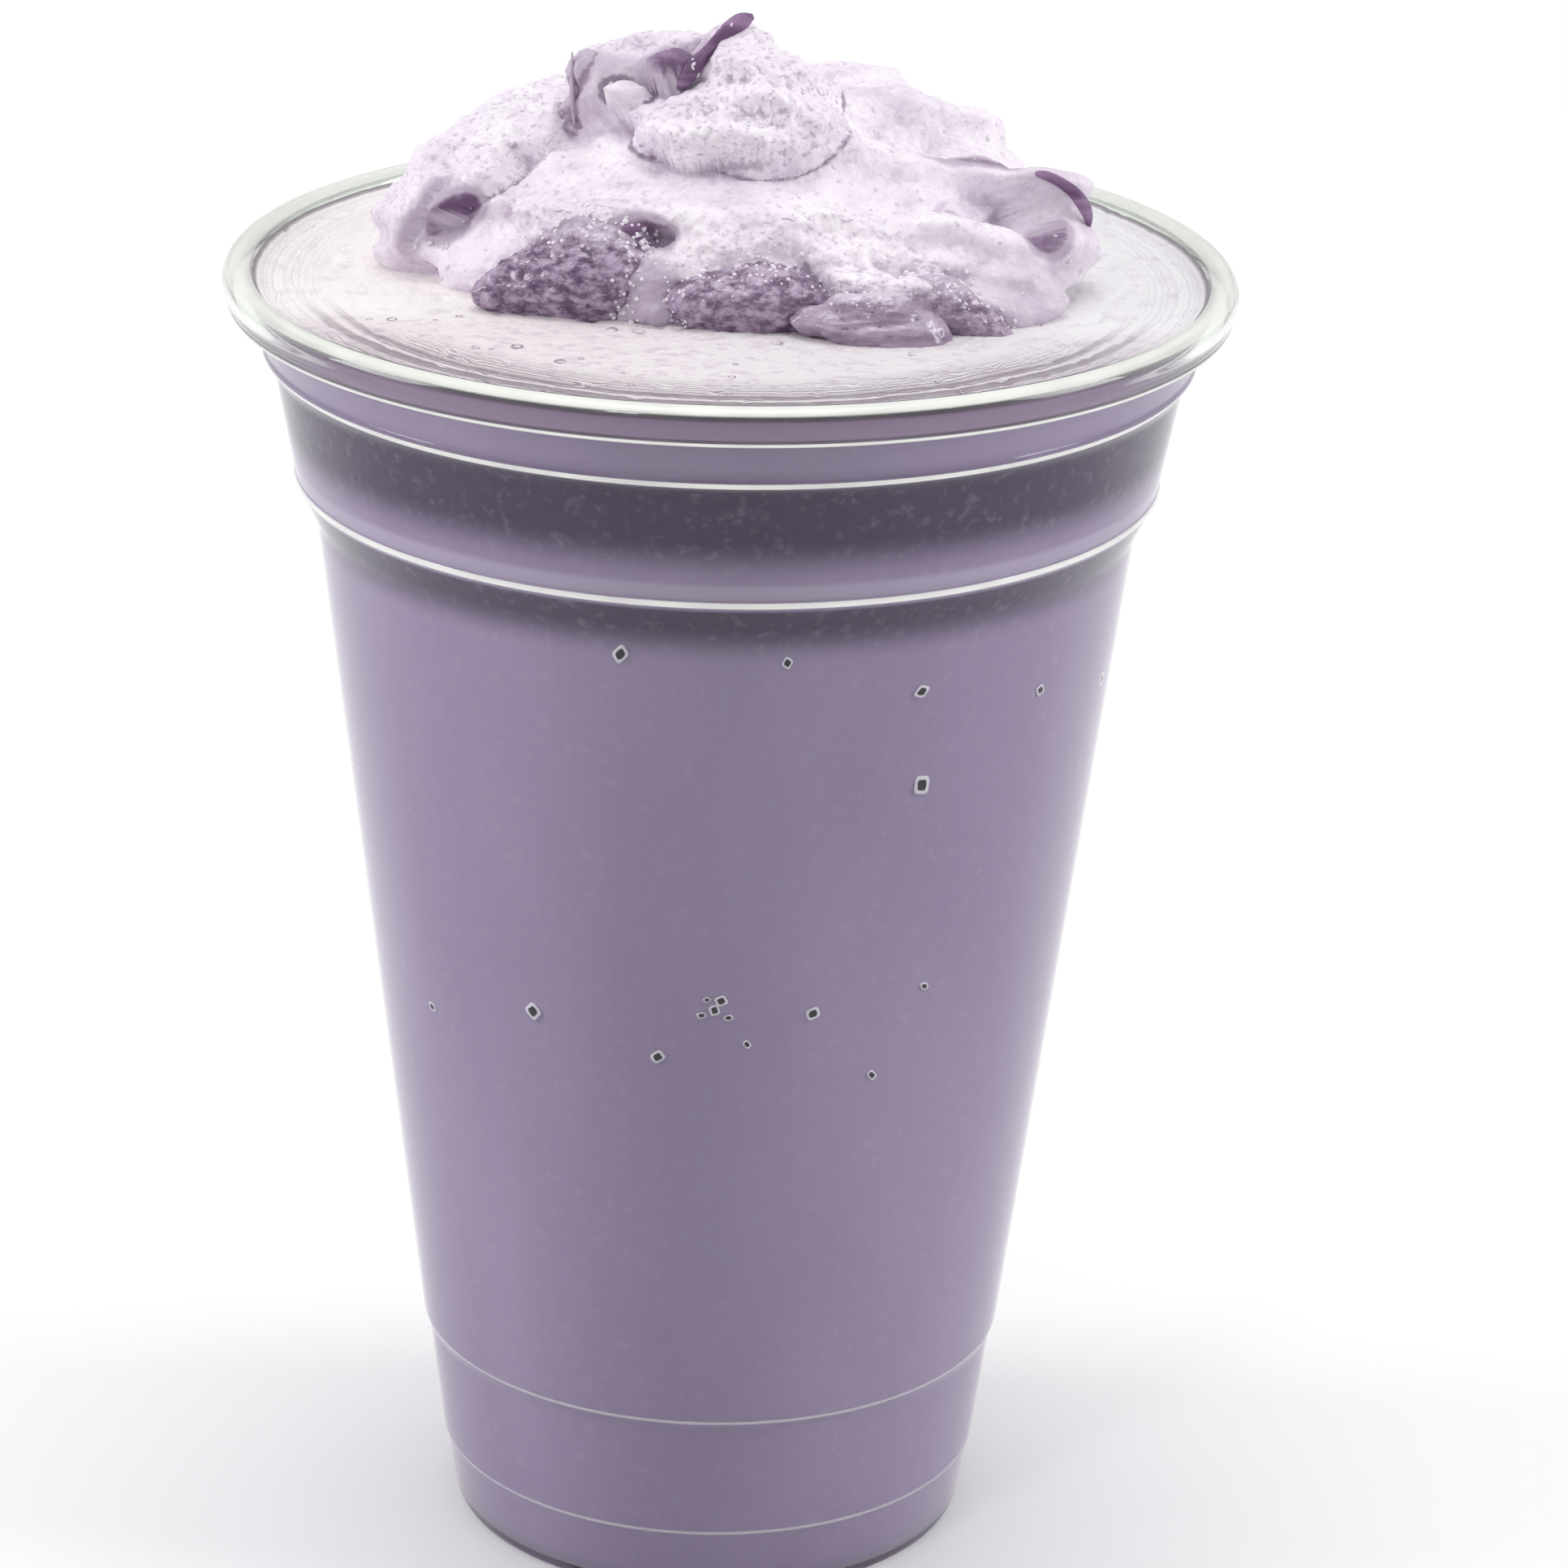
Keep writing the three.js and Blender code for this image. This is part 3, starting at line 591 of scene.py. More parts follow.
# Each scoop: its middle, half sizes and turn, then how granular it is, how dark it is painted (thawed slush
# and painted shade alike; below 0, a painted highlight) and how sharply edged it is.
MOUND = {
    "body": ((0, 7, 131), (31.5, 23, 12.5), (0, 0, 0), 0.6, 0.05, 0.0),
    "crown": ((1, 6, 139.5), (20, 14, 8.5), (0, 0, 0), 0.4, 0.0, 0.0),
    "back": ((2, 17, 134), (24, 13, 10), (0, 0, 0), 0.6, 0.0, 0.0),
    "boulder": ((2.4, -1.2, 145.0), (7.8, 8.0, 7.0), (0, 6, 0), 1.0, 0.05, 1.0),
    "boulder_foot": ((-3.8, -3.4, 145.0), (6.0, 5.0, 2.8), (0, -4, 0), 1.0, 0.05, 1.0),
    "peak": ((0.8, 0.4, 151.2), (3.0, 2.6, 2.6), (0, 32, 0), 1.0, 0.0, 1.0),
    "fold_bed": ((-2.8, 0.6, 150.8), (3.2, 1.8, 1.4), (0, -42, 0), 0.6, 0.3, 1.0),
    # The fold's back is painted dark: painted shade on the fold's inside face.
    "fold_back": ((-5.9, -1.0, 150.3), (2.4, 2.2, 2.0), (0, -44, 0), 0.05, 0.92, 0.6),
    "spike": ((-14.7, 1.4, 146.8), (0.8, 1.8, 4.0), (0, 2, 0), 0.3, 0.5, 1.2),
    "left_face": ((-11.2, 1.0, 146.4), (4.6, 2.6, 4.2), (0, -16, 0), 0.05, 0.42, 0.2),
    # The oval's value below 0 paints a pale highlight where it lies.
    "oval": ((-9.5, -2.4, 148.5), (1.8, 0.8, 0.8), (0, -6, 0), 0.1, -0.3, 2.0),
    "crest": ((-8.4, 3.4, 150.0), (7.2, 2.6, 2.2), (0, -14, 0), 0.9, 0.0, 0.1),
    "right_ridge": ((14.0, 8.5, 143.2), (9.6, 6.0, 4.8), (0, 12, -8), 0.35, 0.0, 0.0),
    "right_slope": ((22.5, 5.5, 137.4), (8.0, 8.5, 5.2), (0, 30, 0), 0.4, 0.0, 0.0),
    "right_lump": ((29.8, -0.8, 133.8), (5.0, 6.4, 5.2), (0, -8, 14), 0.3, 0.16, 0.4),
    "claw_bed": ((31.0, -1.6, 138.6), (3.4, 2.2, 1.6), (0, 40, 0), 0.3, 0.2, 0.3),
    "right_lobe": ((25.8, -10.0, 131.4), (7.0, 4.6, 3.8), (0, 0, 20), 0.1, 0.3, 0.1),
    "right_fill": ((21.0, -8.5, 134.2), (6.4, 5.2, 4.0), (0, 14, 0), 0.4, 0.05, 0.1),
    "left_shoulder": ((-20.5, 7.5, 139.6), (8.6, 8.5, 5.6), (0, -22, 0), 0.8, 0.0, 0.2),
    "left_lump": ((-27.0, 3.0, 134.8), (6.4, 6.6, 6.4), (0, -10, 0), 0.8, 0.14, 0.6),
    "left_brow": ((-25.0, -1.6, 138.6), (5.0, 2.6, 1.7), (0, -24, 0), 0.8, 0.12, 0.9),
    "left_lobe": ((-30.0, 1.0, 132.2), (4.0, 4.2, 3.8), (0, 0, 15), 0.3, 0.2, 0.2),
    "left_apron": ((-22.6, -4.2, 131.6), (7.0, 4.4, 3.8), (0, 0, -50), 0.15, 0.03, 0.0),
    "left_skirt": ((-26.5, 10.0, 133.0), (6.4, 9.0, 5.6), (0, 0, 0), 0.6, 0.05, 0.2),
    "saddle": ((0, -3, 138.0), (19, 8.5, 4.8), (10, 0, 0), 0.1, 0.0, 0.1),
    "arch_left": ((-13.0, -7.6, 138.0), (8.4, 4.2, 2.2), (20, -12, 6), 0.8, 0.06, 0.2),
    "arch_middle": ((1.8, -9.8, 137.0), (10.2, 4.6, 2.2), (20, 0, 0), 0.9, 0.08, 0.2),
    "arch_right": ((15.4, -12.8, 133.4), (9.0, 4.4, 2.4), (18, 12, -4), 0.8, 0.08, 0.5),
    "web": ((-7.0, -12.6, 131.4), (3.4, 4.4, 3.8), (0, 0, 0), 1.0, 0.55, 0.3),
}
# Each hollow, in the same terms, then how dark the painted shade in it is.
HOLLOWS = {
    "left_eye": ((-26.8, -4.8, 136.2), (3.0, 2.4, 1.2), (0, -34, 0), 1.0),
    "left_fold": ((-28.6, -3.8, 138.0), (1.9, 1.4, 0.6), (0, -58, 0), 0.55),
    "left_crease": ((-30.4, -3.6, 134.4), (0.9, 2.0, 3.0), (0, 24, 0), 0.5),
    "right_eye": ((30.0, -7.2, 136.6), (1.8, 2.4, 2.2), (0, 10, 0), 0.85),
    "right_crack": ((24.6, -0.6, 141.6), (3.8, 0.8, 0.5), (0, 12, 0), 0.8),
    "small_eye": ((-8.2, -12.2, 137.2), (2.5, 1.6, 0.9), (0, 8, 0), 1.0),
}
# Each fold too thin for the mass: places along it, each with its half width there, and how dark it is
# painted, thawed slush and painted shade alike.
FOLDS = {
    # The ribbon is painted dark all along: painted shade on the curled tip's inner side.
    "ribbon": ([(-5.3, -3.0, 148.6, 0.3), (-4.7, -3.2, 149.7, 0.7), (-3.9, -2.8, 150.8, 0.9),
                (-2.9, -1.8, 151.9, 0.6), (-1.8, -1.2, 153.0, 0.6), (-0.6, -1.0, 154.0, 0.9),
                (0.6, -0.9, 154.9, 0.85), (1.6, -0.9, 155.4, 0.25)], 1.0),
    "claw": ([(28.4, -2.6, 141.2, 0.15), (29.8, -3.4, 141.2, 0.45), (31.2, -3.9, 140.7, 0.5),
              (32.6, -4.0, 139.7, 0.6), (33.6, -3.9, 138.4, 0.65), (34.1, -3.6, 137.0, 0.45),
              (34.2, -3.3, 136.0, 0.1)], 1.0),
    "left_edge": ([(-15.6, 0.2, 151.2, 0.1), (-15.6, 0.0, 149.0, 0.3), (-15.5, -0.2, 146.5, 0.35),
                   (-15.3, -0.4, 144.2, 0.1)], 0.7),
}
RELIEF = [(0.42, 9.5), (0.3, 4.8)]
RELIEF_WAVES = 7
RELIEF_STRETCH = np.array([0.7, 1.0, 1.5])
SEAM = {"depth": 0.35, "width": 0.45}
MELTED = 0.5
HOLLOW_SHADE_REACH = 1.4
WALK = {"start": 48.0, "steps": 46, "stride": 0.62, "near_enough": 0.001, "shortest": 4.0}
BURIED = {"slope": -0.12, "reach": 5.0}
HEAP_BASE = FOAM_TOP - 1.2
HEAP_CUTS = 8


def ball_distance(points, at, size, turn, taper=0.0):
    """About how far each point is outside a stretched and tapered ball; negative inside."""
    matrix = np.array(Euler([math.radians(a) for a in turn], "ZYX").to_matrix())
    size = np.array(size, float)
    local = (points - np.array(at, float)) @ matrix / size
    local[:, 1:] /= 1 + taper * np.clip(local[:, :1], -1, 1)
    k = np.linalg.norm(local, axis=1)
    return k * (k - 1) / np.maximum(np.linalg.norm(local / size, axis=1), 1e-6)


def crags(points):
    """Folds and crags: crossed waves in drawn directions."""
    total = np.zeros(len(points))
    for octave, (depth, length) in enumerate(RELIEF):
        height = depth * math.sqrt(2 / RELIEF_WAVES)
        for j in range(RELIEF_WAVES):
            rise, turn = 2 * draw(j, 20 + octave) - 1, 2 * math.pi * draw(j, 10 + octave)
            flat = math.sqrt(1 - rise * rise)
            way = np.array([flat * math.cos(turn), flat * math.sin(turn), rise]) * RELIEF_STRETCH
            phase = 2 * math.pi * draw(j, 30 + octave)
            total += height * np.sin(points @ way * (2 * math.pi / length) + phase)
    return total


def seams(near):
    """How much of a seam between two scoops each point lies in, 0 to 1."""
    order = np.argsort(near, axis=0)[:2]
    first, second = np.take_along_axis(near, order, 0)
    edged = np.abs(np.diff(np.array([scoop[5] for scoop in MOUND.values()])[order], axis=0))[0]
    return edged * np.exp(-((second - first) / SEAM["width"]) ** 2)


def heap_distance(points):
    """About how far each point is outside the heap's mass."""
    near = np.stack([ball_distance(points, *scoop[:3]) for scoop in MOUND.values()])
    least = near.min(0)
    melted = least - BLEND * np.log(np.exp((least - near) / BLEND).sum(0))
    for hollow in HOLLOWS.values():
        melted = np.maximum(melted, -ball_distance(points, *hollow[:3]))
    return melted + crags(points) + SEAM["depth"] * seams(near)


def surface(rays):
    """Walks in along each ray from outside until it meets the mass."""
    reach = np.full(len(rays), WALK["start"])
    walking = np.arange(len(rays))
    for _ in range(WALK["steps"]):
        gap = heap_distance(CORE + rays[walking] * reach[walking, None])
        reach[walking] -= WALK["stride"] * gap
        walking = walking[np.abs(gap) > WALK["near_enough"]]
    return CORE + rays * np.maximum(reach, WALK["shortest"])[:, None]


def flat_foot(piece, height):
    """Cuts a closed piece flat at a height in millimetres, and closes the cut."""
    shell = bmesh.new()
    shell.from_mesh(piece.data)
    everything = shell.verts[:] + shell.edges[:] + shell.faces[:]
    bmesh.ops.bisect_plane(shell, geom=everything, plane_co=(0, 0, height * MM), plane_no=(0, 0, 1),
                           clear_inner=True)
    bmesh.ops.holes_fill(shell, edges=[e for e in shell.edges if e.is_boundary])
    bmesh.ops.triangulate(shell, faces=[f for f in shell.faces if len(f.verts) > 4])
    shell.to_mesh(piece.data)
    shell.free()
    return piece


def points_of(piece):
    """A mesh's points, in millimetres."""
    place = np.empty(len(piece.data.vertices) * 3)
    piece.data.vertices.foreach_get("co", place)
    return place.reshape(-1, 3) / MM


def keep_hollowness(piece, label, rounds, scale_mm):
    """Keeps, at each point, how deep it lies in a hollow (above 0.5) or how far it stands out (below 0.5)."""
    mesh, place = piece.data, points_of(piece)
    count = len(place)
    normal = np.empty(count * 3)
    mesh.vertices.foreach_get("normal", normal)
    normal = normal.reshape(-1, 3)
    edge = np.empty(len(mesh.edges) * 2, int)
    mesh.edges.foreach_get("vertices", edge)
    a, b = edge.reshape(-1, 2).T
    links = np.bincount(a, minlength=count) + np.bincount(b, minlength=count)
    smooth = place.copy()
    for _ in range(rounds):
        total = np.stack([np.bincount(a, smooth[b, k], count) + np.bincount(b, smooth[a, k], count)
                          for k in range(3)], 1)
        smooth = 0.5 * smooth + 0.5 * total / np.maximum(links, 1)[:, None]
    depth = ((smooth - place) * normal).sum(1) / scale_mm
    keep(piece, label, np.clip(0.5 + 0.5 * depth, 0, 1))


def keep_scoops(piece):
    """Keeps how granular, how thawed and shaded and how seamed the heap is at each point, from the scoops
    nearest to it, with painted shade in the hollows.
    """
    spots = points_of(piece)
    near = np.stack([ball_distance(spots, *scoop[:3]) for scoop in MOUND.values()])
    share = np.exp((near.min(0) - near) / MELTED)
    share /= share.sum(0)
    granular, thawed = (sum(s * scoop[k] for s, scoop in zip(share, MOUND.values())) for k in (3, 4))
    for hollow in HOLLOWS.values():
        hollow_shade = hollow[3] * np.clip(1.0 - ball_distance(spots, *hollow[:3]) / HOLLOW_SHADE_REACH, 0, 1)
        thawed = np.maximum(thawed, hollow_shade)
    keep(piece, "granular", granular)
    keep(piece, "thawed", thawed)
    keep(piece, "seam", seams(near))


rays, triangles = unit_ball(HEAP_CUTS)
buried = rays[:, 2] < BURIED["slope"]
skin = CORE + rays * BURIED["reach"]
skin[~buried] = surface(rays[~buried])
heap_base = mesh_piece("slush_heap_base", skin, triangles)
flat_foot(heap_base, HEAP_BASE)
keep_scoops(heap_base)

slush = Finish("taro_slush", IOR=1.31, Coat_Weight=0.2, Coat_Roughness=0.2, Subsurface_Weight=0.3,
               Subsurface_Radius=(0.0022, 0.0018, 0.0024))
hollow, wrinkle, granular = slush.kept("hollow"), slush.kept("wrinkle"), slush.kept("granular")
thaw_and_shade_mix, seam = slush.kept("thawed"), slush.kept("seam")
grain = slush.cells(0.5)
cloud = slush.noise(7.0, 4.0, 0.55)
fine = slush.noise(0.9, 4.0, 0.6)
ragged = slush.noise(1.3, 4.0, 0.75)
speck = slush.noise(0.7, 4.0, 0.7, (0.9, 1, 1.15))
laid = slush.noise(2.6, 3.0, 0.5, (0.3, 0.8, 1.6))
stroke = slush.noise(1.5, 3.0, 0.6, (0.35, 0.8, 1.8))
tone = slush.mix(cloud.ramp(0.35, 0.65), rgb(246, 238, 247), rgb(236, 226, 239))
tone = slush.mix(0.5 * laid.ramp(0.5, 0.72), tone, rgb(222, 208, 226))
# Painted shade darkens the hollows.
tone = slush.mix(0.5 * (hollow + 0.3 * fine - 0.15).ramp(0.58, 1.0), tone, rgb(192, 177, 198))
tone = slush.mix(0.6 * granular * speck.ramp(0.5, 0.66), tone, rgb(170, 150, 174))
# Painted shade darkens the fine pits of granular slush.
tone = slush.mix(0.45 * granular * (wrinkle + 0.2 * fine - 0.1).ramp(0.72, 1.0), tone, rgb(150, 128, 154))
tone = slush.mix(0.7 * granular * stroke.ramp(0.66, 0.72), tone, rgb(128, 106, 132))
# The thaw-and-shade value paints thawed slush lilac and dark purple, and with it the painted shade of
# shadowed faces and hollows.
tone = slush.mix((thaw_and_shade_mix + 0.2 * (fine - 0.5)).ramp(0.05, 0.5), tone, rgb(192, 178, 196))
dark = slush.mix(laid.ramp(0.4, 0.7), rgb(108, 80, 114), rgb(160, 132, 164))
tone = slush.mix((thaw_and_shade_mix + 0.3 * (ragged - 0.5)).ramp(0.6, 0.95), tone, dark)
# Painted shade darkens the seams' grooves.
tone = slush.mix(0.75 * (seam + 1.4 * (ragged - 0.55)).ramp(0.5, 0.95), tone, rgb(126, 102, 130))
slush.feed(Base_Color=tone, Roughness=0.42 + 0.3 * fine,
           Normal=slush.bump(0.6 * grain + 0.4 * fine, 0.16, 0.5))

roughen = Tree("slush_crystals", Crag=0.0005, Crag_size=0.0036, Crease=0.0004, Crease_size=0.003,
               Grain=0.00065, Grain_size=0.00095, Seed=4.0, Finish="Material")
spot = roughen.add("GeometryNodeInputPosition")
facing = roughen.add("GeometryNodeInputNormal")
granular_here = roughen.add("GeometryNodeInputNamedAttribute", {"data_type": "FLOAT"}, Name="granular")


def waves(size, detail, where, distortion=0.0):
    """Noise around 0 in lumps of a size that the tree is given."""
    noise = roughen.noise(size, detail, where, {"noise_dimensions": "4D"}, W=roughen["Seed"],
                          Distortion=distortion)
    return roughen.maths("SUBTRACT", noise, 0.5)


crag = roughen.maths("MULTIPLY", waves("Crag size", 4.0, spot, 0.6), roughen["Crag"])
layered = roughen.add("ShaderNodeVectorMath", {"operation": "MULTIPLY"}, i0=spot, i1=(0.3, 0.9, 1.5))
crease = roughen.maths("ABSOLUTE", waves("Crease size", 3.0, layered))
crease = roughen.maths("MULTIPLY", crease, roughen.maths("MULTIPLY", roughen["Crease"], -3.0))
crease = roughen.maths("MULTIPLY", crease, roughen.maths("SUBTRACT", 1.1, granular_here))
crumb = roughen.add("ShaderNodeTexVoronoi", {"feature": "SMOOTH_F1"}, Vector=spot,
                    Scale=roughen.maths("DIVIDE", 1.0, roughen["Grain size"]))
crumb = roughen.maths("MULTIPLY", roughen.maths("SUBTRACT", 0.45, crumb), roughen["Grain"])
uneven = roughen.maths("MULTIPLY", waves("Grain size", 4.0, spot), roughen["Grain"])
crumb = roughen.maths("ADD", crumb, uneven)
crumb = roughen.maths("MULTIPLY", crumb, granular_here)
lift = roughen.maths("ADD", roughen.maths("MULTIPLY", crag, 2.0), roughen.maths("ADD", crumb, crease))
moved = roughen.add("GeometryNodeSetPosition", Geometry=roughen["Geometry"],
                    Offset=roughen.add("ShaderNodeVectorMath", {"operation": "SCALE"}, i0=facing, i3=lift))
roughen.close(moved, roughen["Finish"])
heap = roughen.make("slush_roughened", heap_base, Finish=slush.material)
drop(heap_base)

fold = Tree("fold_on_path", Path="Object", Steps=60, Sides=18, Thickness=0.75, Thawed=1.0, Finish="Material")
path = fold.shape_of("Path")
path = fold.add("GeometryNodeCurveSplineType", {"spline_type": "CATMULL_ROM"}, Curve=path)
path = fold.add("GeometryNodeResampleCurve", {"mode": "COUNT"}, Curve=path, Count=fold["Steps"])
path = fold.add("GeometryNodeSetCurveNormal", {"mode": "Z_UP"}, Curve=path)
oval = fold.add("GeometryNodeCurvePrimitiveCircle", Resolution=fold["Sides"], Radius=1.0)
thinner = fold.add("ShaderNodeCombineXYZ", X=fold["Thickness"], Y=1.0, Z=1.0)
oval = fold.add("GeometryNodeTransform", Geometry=oval, Scale=thinner)
half_width = fold.add("GeometryNodeInputRadius")
swept = fold.add("GeometryNodeCurveToMesh", Curve=path, Profile_Curve=oval, Scale=half_width, Fill_Caps=True)
for label, value in (("granular", 0.1), ("thawed", fold["Thawed"]), ("seam", 0.0)):
    swept = fold.add("GeometryNodeStoreNamedAttribute", {"data_type": "FLOAT", "domain": "POINT"},
                     Geometry=swept, Name=label, Value=value)
joined = fold.add("GeometryNodeJoinGeometry", Geometry=swept)
fold.tree.links.new(fold["Geometry"], joined.node.inputs[0])
fold.close(joined, fold["Finish"])

for label, (stations, thawed) in FOLDS.items():
    places, half_widths = [s[:3] for s in stations], [s[3] for s in stations]
    bare, path = heap, line_through(label + "_path", places, half_widths)
    heap = fold.make("slush_mass", bare, Path=path, Thawed=thawed, Finish=slush.material)
    drop(bare, path)
outward(heap)
keep_hollowness(heap, "hollow", 60, 0.9)
keep_hollowness(heap, "wrinkle", 5, 0.1)
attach(heap, "root")
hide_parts("slush_heap")

# Four lumps at the heap's foot have thawed to a wet, glossy, dark purple. Each tapers to one end, sits half
# under the slush that leans over it, and is held only by the foam that it has sunk into.
# Each lump: its middle, half sizes, turn and taper.
LUMPS = {
    "left": ((-15.2, -11.6, 131.6), (8.6, 5.4, 5.9), (0, -10, 12), 0.34),
    "middle": ((1.6, -13.6, 130.6), (8.2, 5.4, 5.2), (0, 0, 0), -0.08),
    "right": ((13.4, -18.0, 130.5), (7.4, 4.6, 3.2), (0, 6, 4), 0.12),
    "corner": ((21.4, -15.2, 130.6), (5.6, 3.8, 3.0), (0, 16, -14), -0.4),
}
MOTTLED = {"left": 1.0, "middle": 0.9, "right": 0.15, "corner": 0.7}
BUMPS = 0.07
BUMP_WAVES = (3.1, 3.7, 4.3)
LUMP_CUTS = 6
SUNK = 0.8

wet = Finish("wet_taro", IOR=1.38, Coat_Weight=0.9, Coat_Roughness=0.05, Subsurface_Weight=0.15,
             Subsurface_Radius=(0.002, 0.0015, 0.002))
depth, wrinkle, top, mottled = (wet.kept(name) for name in ("hollow", "wrinkle", "top", "granular"))
streak = wet.noise(3.2, 4.0, 0.6, (0.3, 1.0, 1.8))
mottle = wet.noise(1.2, 4.0, 0.65, (0.7, 1.0, 1.2))
frost = wet.noise(1.3, 4.0, 0.65)
skin = wet.mix(streak.ramp(0.35, 0.65), rgb(136, 114, 142), rgb(192, 176, 196))
patches = wet.mix(mottle.ramp(0.36, 0.66), rgb(92, 62, 98), rgb(186, 166, 192))
skin = wet.mix(mottled, skin, patches)
# Painted shade darkens the lumps' hollows and fine creases.
skin = wet.mix(0.7 * depth.ramp(0.52, 0.85), skin, rgb(78, 52, 82))
skin = wet.mix(0.6 * wrinkle.ramp(0.68, 0.95), skin, rgb(60, 38, 64))
frosted = (0.9 - 0.5 * mottled) * (top + 0.9 * (frost - 0.5)).ramp(0.7, 1.0)
skin = wet.mix(frosted, skin, rgb(220, 208, 224))
wet.feed(Base_Color=skin, Roughness=0.16 + 0.3 * frost, Normal=wet.bump(frost, 0.3, 0.6))

lumps = []
for index, (side, (at, size, turn, taper)) in enumerate(LUMPS.items()):
    points, faces = unit_ball(LUMP_CUTS)
    swells = sum(np.sin(BUMP_WAVES[k] * points[:, k] + 2 * math.pi * draw(index, k)) for k in range(3))
    shape = points * (1 + BUMPS * swells)[:, None] * np.array(size)
    shape[:, 1:] *= (1 + taper * points[:, :1])
    matrix = np.array(Euler([math.radians(a) for a in turn], "ZYX").to_matrix())
    base = mesh_piece(f"lump_{side}_base", shape @ matrix.T + np.array(at), faces)
    flat_foot(base, FOAM_TOP - SUNK)
    keep(base, "granular", np.full(len(base.data.vertices), MOTTLED[side]))
    lump = roughen.make(f"thawed_lump_{side}", base, Finish=wet.material, Crag=0.0007, Crag_size=0.003,
                        Crease=0.0005, Crease_size=0.0022, Grain=0.00045, Grain_size=0.0011,
                        Seed=9.0 + index)
    drop(base)
    outward(lump)
    keep_hollowness(lump, "hollow", 12, 0.25)
    keep_hollowness(lump, "wrinkle", 4, 0.08)
    keep(lump, "top", np.clip((points_of(lump)[:, 2] - at[2]) / size[2], 0, 1))
    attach(lump, "root")
    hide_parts(f"wet_lump_{side}")
    lumps.append(lump)

# Loose bits: white beads of froth where the slush meets the wet lumps, small clear crystals of ice all over
# the heap, and rings of burst bubbles on the foam. One tree strews them, as densely as a kept number says.
FROTH_RADIUS = 0.24
CRYSTAL = (0.36, 0.2, 0.12)
BURST = {"long": 0.55, "wide": 0.5, "thick": 0.13, "around": 12, "across": 5}

strew = Tree("strewn_bits", Bit="Object", Density=1.0, Smallest=0.5, Largest=1.0, Seed=1, Finish="Material")
wanted = strew.add("GeometryNodeInputNamedAttribute", {"data_type": "FLOAT"}, Name="strewn")
spread = strew.add("GeometryNodeDistributePointsOnFaces", Mesh=strew["Geometry"], Seed=strew["Seed"],
                   Density=strew.maths("MULTIPLY", wanted, strew["Density"]))


def any_number(low, high, seed):
    """A random number for each bit."""
    return strew.add("FunctionNodeRandomValue", {"data_type": "FLOAT"}, out=1, i2=low, i3=high, Seed=seed)


other_seed = strew.add("FunctionNodeIntegerMath", {"operation": "ADD"}, i0=strew["Seed"], i1=7)
how_big = any_number(strew["Smallest"], strew["Largest"], other_seed)
about = any_number(0.0, 2 * math.pi, strew["Seed"])
spin = strew.add("FunctionNodeAxisAngleToRotation", Axis=(0, 0, 1), Angle=about)
spun = strew.add("FunctionNodeRotateRotation", {"rotation_space": "LOCAL"}, Rotate_By=spin,
                 Rotation=spread.node.outputs["Rotation"])
placed = strew.add("GeometryNodeInstanceOnPoints", Points=spread, Instance=strew.shape_of("Bit"),
                   Rotation=spun, Scale=how_big)
strew.close(placed, strew["Finish"])


def strewn(name, ground, density, bit, finish, slot, **values):
    """Strews copies of a small piece over a larger one, as densely as a number says."""
    keep(ground, "strewn", density(points_of(ground)))
    piece = strew.make(name, ground, Bit=bit, Finish=finish.material, **values)
    ground.data.attributes.remove(ground.data.attributes["strewn"])
    outward(piece)
    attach(piece, "root")


def near_lumps(spots):
    """1 along the upper edges of the wet lumps, where the slush meets them, and 0 away from there."""
    far = np.min([np.abs(ball_distance(spots, *lump)) for lump in LUMPS.values()], axis=0)
    met = np.clip(1.5 - far, 0, 1) * np.clip(1.8 - np.abs(heap_distance(spots)), 0, 1)
    return met * (spots[:, 1] < -7)


def on_heap(spots):
    """1 on the heap above the foam."""
    return np.clip((spots[:, 2] - FOAM_TOP - 0.5) / 2, 0, 1)


def on_foam(spots):
    """Most in front of the heap, less at its sides and none at the wall."""
    flat = (spots[:, 2] > FOAM_TOP - 0.4) & (np.hypot(spots[:, 0], spots[:, 1]) < 44)
    return flat * np.where(spots[:, 1] < -15, 1.0, 0.3)


def burst_ring():
    """The points and faces of the ring that a burst bubble leaves."""
    points, faces = [], []
    around, across = BURST["around"], BURST["across"]
    for i in range(around):
        for j in range(across):
            p, q = i * 2 * math.pi / around, j * 2 * math.pi / across
            out, up = BURST["thick"] * math.cos(q), BURST["thick"] * math.sin(q)
            points.append(((BURST["long"] + out) * math.cos(p), (BURST["wide"] + out) * math.sin(p), up))
            after, beside = (i + 1) % around * across, (j + 1) % across
            faces.append((i * across + j, after + j, after + beside, i * across + beside))
    return points, faces


bead_points, bead_faces = unit_ball(2)
bead = mesh_piece("bead", FROTH_RADIUS * bead_points, bead_faces)
crystal_points, crystal_faces = unit_ball(1)
crystal = mesh_piece("crystal", crystal_points * np.array(CRYSTAL), crystal_faces)
ring = mesh_piece("ring", *burst_ring())

frothy = Finish("white_froth", IOR=1.33, Coat_Weight=1.0, Coat_Roughness=0.05, Subsurface_Weight=0.3,
                Subsurface_Radius=(0.001, 0.001, 0.001))
cloud = frothy.noise(0.6, 3.0)
frothy.feed(Base_Color=frothy.mix(cloud, rgb(252, 248, 253), rgb(214, 202, 220)), Roughness=0.1 + 0.2 * cloud)
icy = Finish("clear_ice", IOR=1.31, Transmission_Weight=0.2, Coat_Weight=1.0, Coat_Roughness=0.03)
cloud = icy.noise(0.8, 3.0)
icy.feed(Base_Color=icy.mix(cloud, rgb(254, 250, 255), rgb(238, 228, 242)), Roughness=0.08 + 0.3 * cloud)
burst = Finish("burst_bubble", IOR=1.33, Coat_Weight=1.0, Coat_Roughness=0.1)
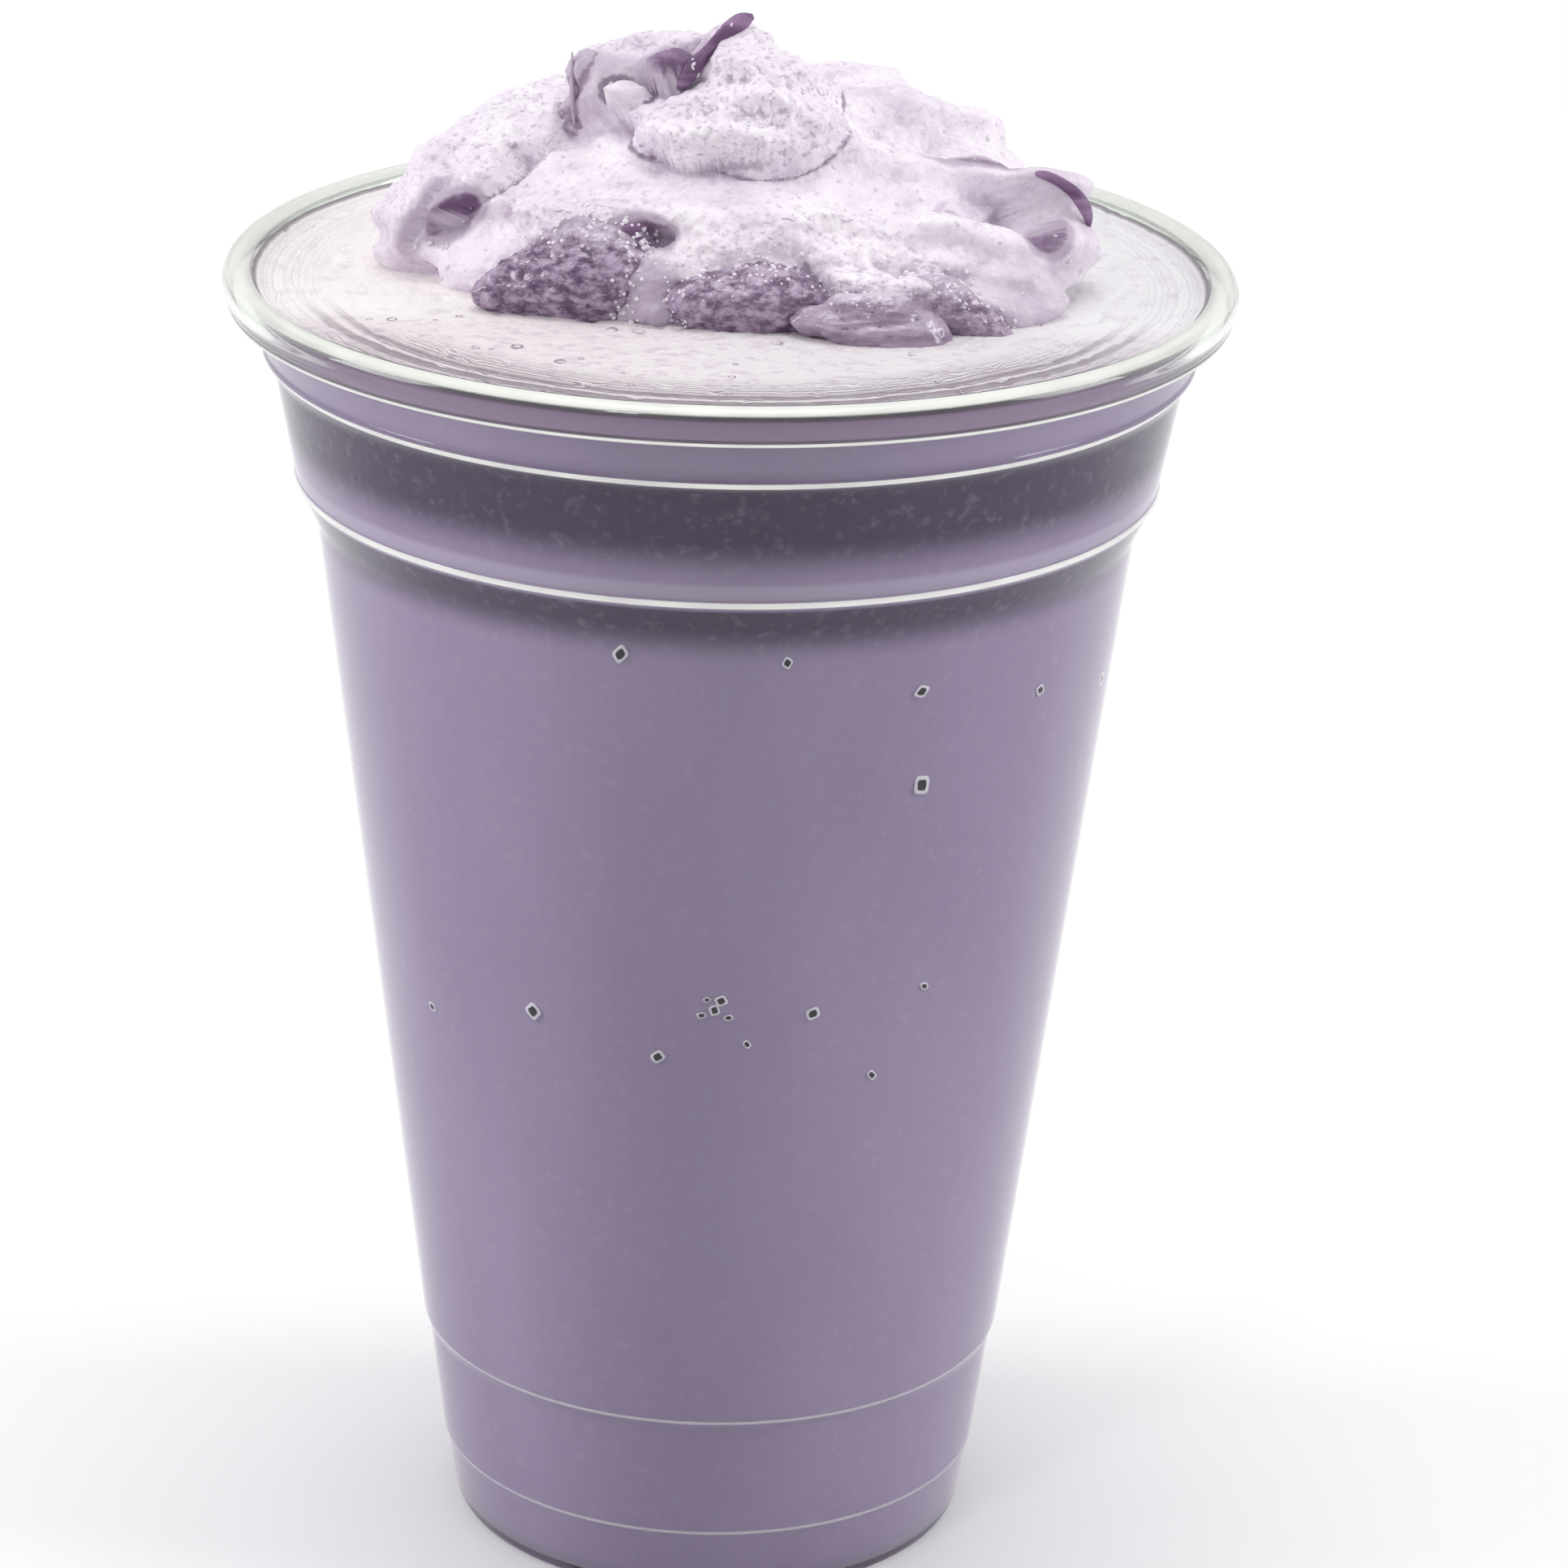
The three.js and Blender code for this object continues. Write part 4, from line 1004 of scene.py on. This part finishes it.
cloud = burst.noise(1.5, 3.0)
burst.feed(Base_Color=burst.mix(cloud.ramp(0.4, 0.6), rgb(220, 210, 220), rgb(160, 146, 162)),
           Roughness=0.2 + 0.3 * cloud)

strewn("heap_froth", heap, near_lumps, bead, frothy, "pale_foam",
       Density=1.3e6, Smallest=0.3, Largest=1.3, Seed=3)
for side, lump in zip(LUMPS, lumps):
    strewn(f"lump_froth_{side}", lump, near_lumps, bead, frothy, "pale_foam",
           Density=1.3e6, Smallest=0.25, Largest=1.0, Seed=5)
strewn("heap_ice", heap, on_heap, crystal, icy, "taro_slush",
       Density=1.2e5, Smallest=0.4, Largest=1.2, Seed=8)
strewn("foam_bubbles", foam, on_foam, ring, burst, "pale_foam",
       Density=1.6e4, Smallest=0.35, Largest=1.0, Seed=11)
drop(bead, crystal, ring)

# The stage is a pale table that runs out of view, just below the foot. A large soft light hangs above it,
# with one at each side, a small one in front for the glints and an even pale studio all round.
TABLE = {"half": 3000.0, "below": 0.2}
LIT_AT = Vector((0, 0, 0.09))

corners = [(x * TABLE["half"], y * TABLE["half"], -TABLE["below"])
           for x, y in ((-1, -1), (1, -1), (1, 1), (-1, 1))]
table_top = mesh_piece("table_top", corners, [(0, 1, 2, 3)])
pale = Finish("pale_table", Roughness=0.8)
paper = pale.noise(40.0, 4.0, 0.5)
table_top.data.materials.append(pale.feed(Base_Color=pale.mix(paper, rgb(253, 253, 254), rgb(255, 255, 255))))


def soft_light(name, place, size, watts):
    """A square soft light that faces the cup."""
    data = bpy.data.lights.new(name, "AREA")
    data.shape, data.size, data.energy = "SQUARE", size, watts
    lamp = linked(name, data)
    lamp.location = place
    lamp.rotation_euler = (LIT_AT - Vector(place)).to_track_quat("-Z", "Y").to_euler()


soft_light("light_above", (0.0, 0.2, 2.4), 1.2, 13.0)
soft_light("light_left", (-1.5, -0.1, 0.8), 0.7, 9.0)
soft_light("light_right", (1.5, -0.1, 0.8), 0.7, 9.0)
soft_light("light_glint", (-0.35, -0.7, 0.9), 0.12, 0.7)

world = bpy.data.worlds.new("studio")
world.use_nodes = True
sky = world.node_tree.nodes["Background"].inputs
sky["Color"].default_value = (1, 1, 1, 1)
sky["Strength"].default_value = 0.62
bpy.context.scene.world = world
bpy.context.scene.view_settings.view_transform = "Standard"

# The camera looks down at the cup from a little above, through a long lens. It is turned a degree, so that
# the cup leans as it was pictured.
LOOK_AT = Vector((0.0063, 0.0, 0.07726))
LOOK_FROM = {"away": 0.6, "above": 20.64, "roll": 1.41}
LENS = {"sensor": 36.0, "long": 138.24}
above, roll = math.radians(LOOK_FROM["above"]), math.radians(LOOK_FROM["roll"])
back = Vector((0, -math.cos(above), math.sin(above)))
level_right = Vector((1, 0, 0))
level_up = back.cross(level_right)
right = math.cos(roll) * level_right + math.sin(roll) * level_up
upward = -math.sin(roll) * level_right + math.cos(roll) * level_up
lens = bpy.data.cameras.new("camera")
lens.sensor_width, lens.lens = LENS["sensor"], LENS["long"]
camera = linked("camera", lens)
facing = Matrix((right, upward, back)).transposed().to_4x4()
camera.matrix_world = Matrix.Translation(LOOK_AT + LOOK_FROM["away"] * back) @ facing
bpy.context.scene.camera = camera
